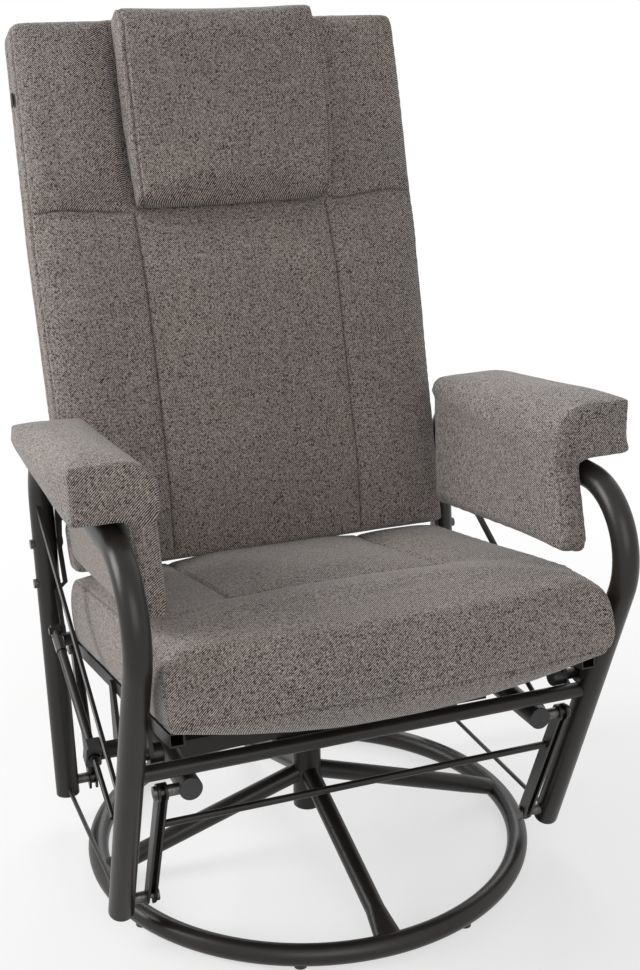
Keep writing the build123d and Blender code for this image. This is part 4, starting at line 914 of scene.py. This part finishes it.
@dataclass
class HeadPillow(Cushion):
    """Headrest pillow, upright-sided and drawn in at its foot, a front panel sewn to its boxing."""

    foot: float = 0.464
    head: float = 0.724
    rise: float = 0.003
    lean: float = 0.006

    def __post_init__(self) -> None:
        """Lays out the seams."""
        path = np.array([
            (0.1325, -0.010, 0.465), (0.1325, -0.040, 0.472), (0.1325, -0.044, 0.510),
            (0.1325, -0.046, 0.570), (0.1325, -0.045, 0.640), (0.1325, -0.043, 0.680),
            (0.134, -0.040, 0.700), (0.137, -0.028, 0.720), (0.140, -0.008, 0.720),
        ])
        for side in (-1, 1):
            edge = self.stuffed(path * (side, 1, 1))
            self.seams.append(Seam(tuple(tuple(map(float, p)) for p in edge), 0.0024, 0.0028, 0.55))

    def stuffed(self, local: Array) -> Array:
        """Draws the foot in, fills the sides and the top out, and leans the middle a little to the right."""
        x, rear, up = local.T
        share = np.clip((up - self.foot) / (self.head - self.foot), 0, 1)
        narrow = 0.98 - 0.055 * (1 - smooth(up, self.foot, self.foot + 0.085))
        narrow -= 0.012 * smooth(share, 0.8, 1.0)
        wide = 1 + 0.06 * smooth(-rear, 0.010, 0.045) * (1 - smooth(share, 0.72, 0.95))
        across = x * narrow * wide + self.lean * np.sin(math.pi * share)
        return np.stack([across, rear, up + self.rise * smooth(up, 0.680, 0.722)], axis=1)

    def freedom(self, local: Array) -> Array:
        """All but the rear face swells, the underside less."""
        _, rear, up = local.T
        return (1 - smooth(rear, -0.014, -0.003)) * (0.35 + 0.65 * smooth(up, 0.464, 0.50))


class Side(Enum):
    """Left or right arm, as the sign of X."""

    LEFT = -1
    RIGHT = 1


@dataclass
class ArmPad(Cushion):
    """Arm pad: a top that thins to the rear on its board, a flap inside the tube, sewn-in ends."""

    side: Side = Side.RIGHT
    front: float = -0.222
    rear: float = 0.138
    low: float = 0.5735
    front_high: float = 0.6475
    rear_high: float = 0.6005

    def __post_init__(self) -> None:
        """Lays out the seams."""
        s = self.side.value
        ahead = (
            (0.240, 0.560), (0.239, 0.598), (0.245, 0.620), (0.257, 0.637), (0.272, 0.6455), (0.292, 0.6475),
            (0.318, 0.6475), (0.335, 0.639), (0.343, 0.623), (0.344, 0.597), (0.336, 0.578), (0.318, 0.5745),
        )
        behind = (
            (0.240, 0.565), (0.239, 0.579), (0.245, 0.593), (0.258, 0.6000), (0.290, 0.6005), (0.326, 0.600),
            (0.339, 0.595), (0.344, 0.585), (0.343, 0.579), (0.338, 0.5745), (0.318, 0.5735),
        )
        self.seams = []
        for y, ring in ((self.front + 0.0035, ahead), (self.rear - 0.0035, behind)):
            self.seams.append(Seam(tuple((s * x, y, z) for x, z in ring), 0.0012, 0.0024, 0.40, 0.0003))
        down = ((-0.217, 0.566), (-0.231, 0.515), (-0.241, 0.480), (-0.236, 0.466))
        for x in (0.242, 0.276):
            self.seams.append(Seam(tuple((s * x, y, z) for y, z in down), 0.0020, 0.0026, 0.45))
        hem = ((s * 0.259, -0.232, 0.462), (s * 0.259, -0.05, 0.435), (s * 0.259, 0.110, 0.412))
        self.seams.append(Seam(hem, 0.0016, 0.0030, 0.35, held=False))

    def top(self, y: Array) -> Array:
        """Height of the pad's top at y, falling to the rear."""
        share = np.clip((y - self.front) / (self.rear - self.front), 0, 1)
        return self.front_high + (self.rear_high - self.front_high) * share

    def freedom(self, local: Array) -> Array:
        """The top and the flap's inner face swell; what lies on the board or the tube doesn't."""
        x, y, z = local.T
        x = x * self.side.value
        board = smooth((z - self.low) / (self.top(y) - self.low), -0.02, 0.30)
        flap = (1 - board) * (1 - smooth(x, 0.250, 0.268)) * 0.6
        inner = 1 - 0.45 * (1 - smooth(x, 0.240, 0.262))
        return np.maximum(board * inner, flap)


@dataclass
class Upholstery:
    """All the stuffed pieces, simulated together."""

    frames: int = 20
    pieces: list[Cushion] = field(default_factory=list)

    def __post_init__(self) -> None:
        """Names the pieces."""
        self.pieces = [
            SeatCushion("seat_upholstery", "seat_cushion", "chair", SEAT, swell=0.011, seed=2.0),
            BackCushion("back_upholstery", "back_cushion", "back", BACK, swell=0.0095, seed=3.0, fill=0.55),
            BackPad("back_cover", "back_pad", "back", BACK, voxel=0.006, swell=0.009, seed=4.0, fill=0.5),
            HeadPillow("head_pillow", "headrest_pillow", "back", BACK, voxel=0.0042, swell=0.009, seed=5.0),
        ]
        for side in Side:
            name = side.name.lower()
            self.pieces.append(
                ArmPad(
                    f"arm_upholstery_{name}", f"arm_pad_{name}", "chair", ARMS, voxel=0.0045,
                    slack=0.005, swell=0.0095, seed=6.0 + side.value, fill=0.7, side=side,
                )
            )

    def make(self, nodes: Objects, cloth: Material) -> None:
        """Cuts, swells, sews and dresses every piece.

        Args:
            nodes: the fixed frame's solids by name.
            cloth: the cover's material.
        """
        for piece in self.pieces:
            piece.cut(nodes)
        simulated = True
        if simulated:
            for piece in self.pieces:
                piece.hang()
            for number in range(1, self.frames + 1):
                bpy.context.scene.frame_set(number)
        for piece in self.pieces:
            piece.settle(simulated)
        bpy.context.scene.frame_set(1)
        for piece in self.pieces:
            piece.sew()
            piece.dress(cloth)


# ---------------------------------------------------------------- webbing and tag
@dataclass
class SeatWebbing:
    """Elastic straps from rail to rail under the seat."""

    count: int = 5
    first: float = -0.025
    pitch: float = 0.070
    width: float = 0.040
    reach: float = 0.2535
    waist: float = 0.035
    thickness: float = 0.0018
    end: float = -0.1059
    middle: float = -0.1184

    def strip(self, rear: float) -> bpy.types.Mesh:
        """Weaves one strap.

        Args:
            rear: its middle, rearward in the seat's frame.

        Returns:
            The mesh.
        """
        build = bmesh.new()
        xs = np.linspace(-self.reach, self.reach, 61)
        ys = np.linspace(-0.5, 0.5, 13)
        share = xs / self.reach
        sag = self.end + (self.middle - self.end) * (1 - share**2)
        wide = self.width * (1 - self.waist * np.cos(share * math.pi / 2))
        edge = 0.5 * self.thickness * np.abs(2 * ys) ** 8
        sheets = []
        for drop in (edge, self.thickness - edge):
            rows = []
            for x, breadth, height in zip(xs, wide, sag):
                spots = np.stack([np.full(len(ys), x), rear + ys * breadth, height - drop], axis=1)
                rows.append([build.verts.new(spot) for spot in SEAT.world(spots)])
            sheets.append(rows)
            for a, b in zip(rows[:-1], rows[1:]):
                for k in range(len(ys) - 1):
                    build.faces.new((a[k], b[k], b[k + 1], a[k + 1]))
        top, low = sheets
        for k in (0, len(ys) - 1):
            for i in range(len(xs) - 1):
                build.faces.new((top[i][k], top[i + 1][k], low[i + 1][k], low[i][k]))
        for i in (0, len(xs) - 1):
            for k in range(len(ys) - 1):
                build.faces.new((top[i][k], top[i][k + 1], low[i][k + 1], low[i][k]))
        bmesh.ops.recalc_face_normals(build, faces=build.faces)
        return meshed("strap", build)

    def make(self, cloth: Material) -> None:
        """Sets the straps in place of their solids."""
        joined = bmesh.new()
        for k in range(self.count):
            joined.from_mesh(self.strip(self.first + k * self.pitch))
        piece = placed("seat_webbing", meshed("seat_webbing", joined))
        piece.data.materials.append(cloth)
        smoothed(piece.data)
        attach(piece, "chair")
        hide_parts("seat_straps")
        log.info("seat_webbing: %d straps", self.count)


@dataclass
class EdgeTag:
    """Small bare tab of folded tape, sewn into the left edge of the back."""

    up: float = 0.618
    high: float = 0.017
    thick: float = 0.0014
    curl: float = 0.0006
    rounding: float = 0.0004
    depths: tuple[float, float] = (0.0105, 0.0255)
    steps: int = 11

    def make(self, cloth: Material) -> None:
        """Folds the tab and sets it in place of its solid."""
        lo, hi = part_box("side_tag")
        front, rear = self.depths
        build = bmesh.new()
        rows = []
        for u in np.linspace(self.up - self.high / 2, self.up + self.high / 2, 9):
            row = []
            for d in np.linspace(front, rear, self.steps):
                bulge = self.curl * (1 + math.sin((d - front) / (rear - front) * math.pi))
                row.append((lo.x - bulge, float(d), float(u)))
            row += [(x + self.thick, d, u) for x, d, u in reversed(row)]
            rows.append([build.verts.new(BACK.world(np.array([p]))[0]) for p in row])
        for a, b in zip(rows[:-1], rows[1:]):
            for k in range(len(a)):
                n = (k + 1) % len(a)
                build.faces.new((a[k], a[n], b[n], b[k]))
        for ring in (rows[0], rows[-1]):
            for k in range(self.steps - 1):
                build.faces.new((ring[k], ring[k + 1], ring[-2 - k], ring[-1 - k]))
        bmesh.ops.recalc_face_normals(build, faces=build.faces)
        sharp = [e for e in build.edges if e.calc_face_angle(0) > 1.0]
        bmesh.ops.bevel(build, geom=sharp, offset=self.rounding, segments=2, affect="EDGES")
        piece = placed("edge_tag", meshed("edge_tag", build))
        piece.data.materials.append(cloth)
        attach(piece, "back")
        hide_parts("side_tag")
        log.info("edge_tag at z %.3f to %.3f", lo.z, hi.z)


# ---------------------------------------------------------------- metal, plastic and wood
@dataclass
class Hardware:
    """Finishes of the solids that stay as they are."""

    plastic: tuple[str, ...] = (
        "floor_feet", "carrier_caps", "leg_plugs", "thrust_washer", "guide_block_left", "guide_block_right",
    )
    steel: tuple[str, ...] = ("link_pins_top", "link_pins_foot", "leg_bolts", "arm_bolts", "swivel_post")
    knobs: tuple[str, ...] = ("knob_bolts",)
    gloss: tuple[str, ...] = ("lock_collar",)
    wood: tuple[str, ...] = ("arm_board_left", "arm_board_right")

    def paint(self, nodes: Objects) -> None:
        """Gives every solid its material.

        Args:
            nodes: the fixed frame's solids by name.
        """
        coat = PowderCoat().material()
        chosen: dict[str, Material] = {}
        for names, finish in (
            (self.plastic, MouldedPlastic()),
            (self.knobs, MouldedPlastic("knob_plastic", (0.012, 0.011, 0.011), 0.30, 0.44)),
            (self.steel, BlackenedSteel()),
            (self.gloss, GlossyLacquer()),
            (self.wood, StainedPlywood()),
        ):
            made = finish.material()
            chosen.update({name: made for name in names})
        for name, node in nodes.items():
            node.data.materials.clear()
            node.data.materials.append(chosen.get(name, coat))
            log.info("%s: %s", name, chosen.get(name, coat).name)


# ---------------------------------------------------------------- studio
@dataclass
class Studio:
    """Pale floor, soft lamps and white surroundings."""

    floor_radius: float = 2.4
    floor_colour: Colour = (0.80, 0.80, 0.80)
    floor_glow: float = 0.62
    fade: tuple[float, float] = (0.45, 1.5)
    ambient: float = 0.42
    air: Colour = (1.0, 0.985, 0.97)

    def floor(self) -> None:
        """Lays a round floor that fades out into the white around it."""
        build = bmesh.new()
        bmesh.ops.create_circle(build, cap_ends=True, segments=96, radius=self.floor_radius)
        ground = placed("studio_floor", meshed("studio_floor", build))
        s = Shader("studio_floor_paint")
        s.fixed(Roughness=0.9, Specular_IOR_Level=0.1)
        patch = s.noise(3.0)
        pale = tuple(c * 0.98 for c in self.floor_colour)
        s.link(s.ramp(patch, ((0.3, pale), (0.7, self.floor_colour))), s.surface.inputs["Base Color"])
        rays = s.node("ShaderNodeLightPath").outputs
        share = s.node("ShaderNodeMath", operation="MULTIPLY")
        s.link(s.any_of(rays["Is Camera Ray"], rays["Is Glossy Ray"]), share.inputs[0])
        share.inputs[1].default_value = self.floor_glow
        white = s.node("ShaderNodeEmission")
        half = s.mixed(share.outputs[0], s.surface.outputs[0], white.outputs[0])
        reach = s.node("ShaderNodeVectorMath", operation="LENGTH")
        s.link(s.place, reach.inputs[0])
        clear = s.node("ShaderNodeBsdfTransparent")
        gone = s.stretch(reach.outputs["Value"], *self.fade, "SMOOTHSTEP")
        s.link(s.mixed(gone, half, clear.outputs[0]), s.output.inputs["Surface"])
        ground.data.materials.append(s.material)

    def surroundings(self) -> None:
        """White to the eye and to gloss, and a soft grey light on everything else."""
        world = bpy.data.worlds.new("studio_air")
        bpy.context.scene.world = world
        world.use_nodes = True
        air = Nodes(world.node_tree)
        rays = air.node("ShaderNodeLightPath").outputs
        lights = []
        for colour, strength in ((self.air, self.ambient), ((1.0, 1.0, 1.0), 1.0)):
            light = air.node("ShaderNodeBackground")
            light.inputs["Color"].default_value = (*colour, 1.0)
            light.inputs["Strength"].default_value = strength
            lights.append(light.outputs[0])
        seen = air.any_of(rays["Is Camera Ray"], rays["Is Glossy Ray"], rays["Is Transmission Ray"])
        out = air.node("ShaderNodeOutputWorld")
        air.link(air.mixed(seen, *lights), out.inputs["Surface"])

    def lamp(self, name: str, place: Spot, aim: Spot, size: float, power: float) -> None:
        """Hangs one soft square lamp.

        Args:
            name: its name.
            place: where it hangs.
            aim: what it points at.
            size: side length.
            power: in watts.
        """
        data = bpy.data.lights.new(name, "AREA")
        data.size = size
        data.energy = power
        lamp = placed(name, data)
        lamp.location = place
        lamp.rotation_euler = (Vector(aim) - Vector(place)).to_track_quat("-Z", "Y").to_euler()

    def light(self) -> None:
        """Key from the left and a little behind, a broad lamp in front, a soft one behind."""
        self.lamp("key", (-2.6, 0.7, 2.1), (0, 0, 0.6), 1.6, 78)
        self.lamp("front", (-0.5, -3.0, 2.0), (0, 0, 0.55), 2.2, 34)
        self.lamp("rear", (0.9, 2.2, 2.3), (0, 0, 0.6), 2.0, 34)


@dataclass
class Viewpoint:
    """Camera at the photograph's place, turned by its axes."""

    place: Spot = (-0.62645, -1.72977, 1.12333)
    right: Spot = (0.93467, -0.35552, 0.0)
    up: Spot = (0.11310, 0.29734, 0.94805)
    back: Spot = (-0.33705, -0.88611, 0.31812)
    roll: float = -0.82
    lens: float = 56.24

    def make(self) -> None:
        """Sets the camera up."""
        turn = math.radians(self.roll)
        level, rise = Vector(self.right), Vector(self.up)
        right = math.cos(turn) * level + math.sin(turn) * rise
        up = -math.sin(turn) * level + math.cos(turn) * rise
        data = bpy.data.cameras.new("viewpoint")
        data.lens = self.lens
        data.sensor_width = 36.0
        camera = placed("viewpoint", data)
        turned = Matrix((right, up, self.back)).transposed().to_4x4()
        camera.matrix_world = Matrix.Translation(self.place) @ turned
        bpy.context.scene.camera = camera


def main() -> None:
    """Builds the scene in order."""
    logging.basicConfig(level=logging.INFO, format="%(message)s")
    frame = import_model()
    Viewpoint().make()
    studio = Studio()
    studio.floor()
    studio.surroundings()
    studio.light()
    Hardware().paint(frame["nodes"])
    Upholstery().make(frame["nodes"], HeatheredTwill().material())
    SeatWebbing().make(RibbedWebbing().material())
    tape = RibbedWebbing("tag_tape", (0.006, 0.006, 0.006), (0.022, 0.021, 0.021), 700.0, "Z")
    EdgeTag().make(tape.material())
    bpy.context.scene.view_settings.view_transform = "Standard"


if __name__ == "__main__":
    main()
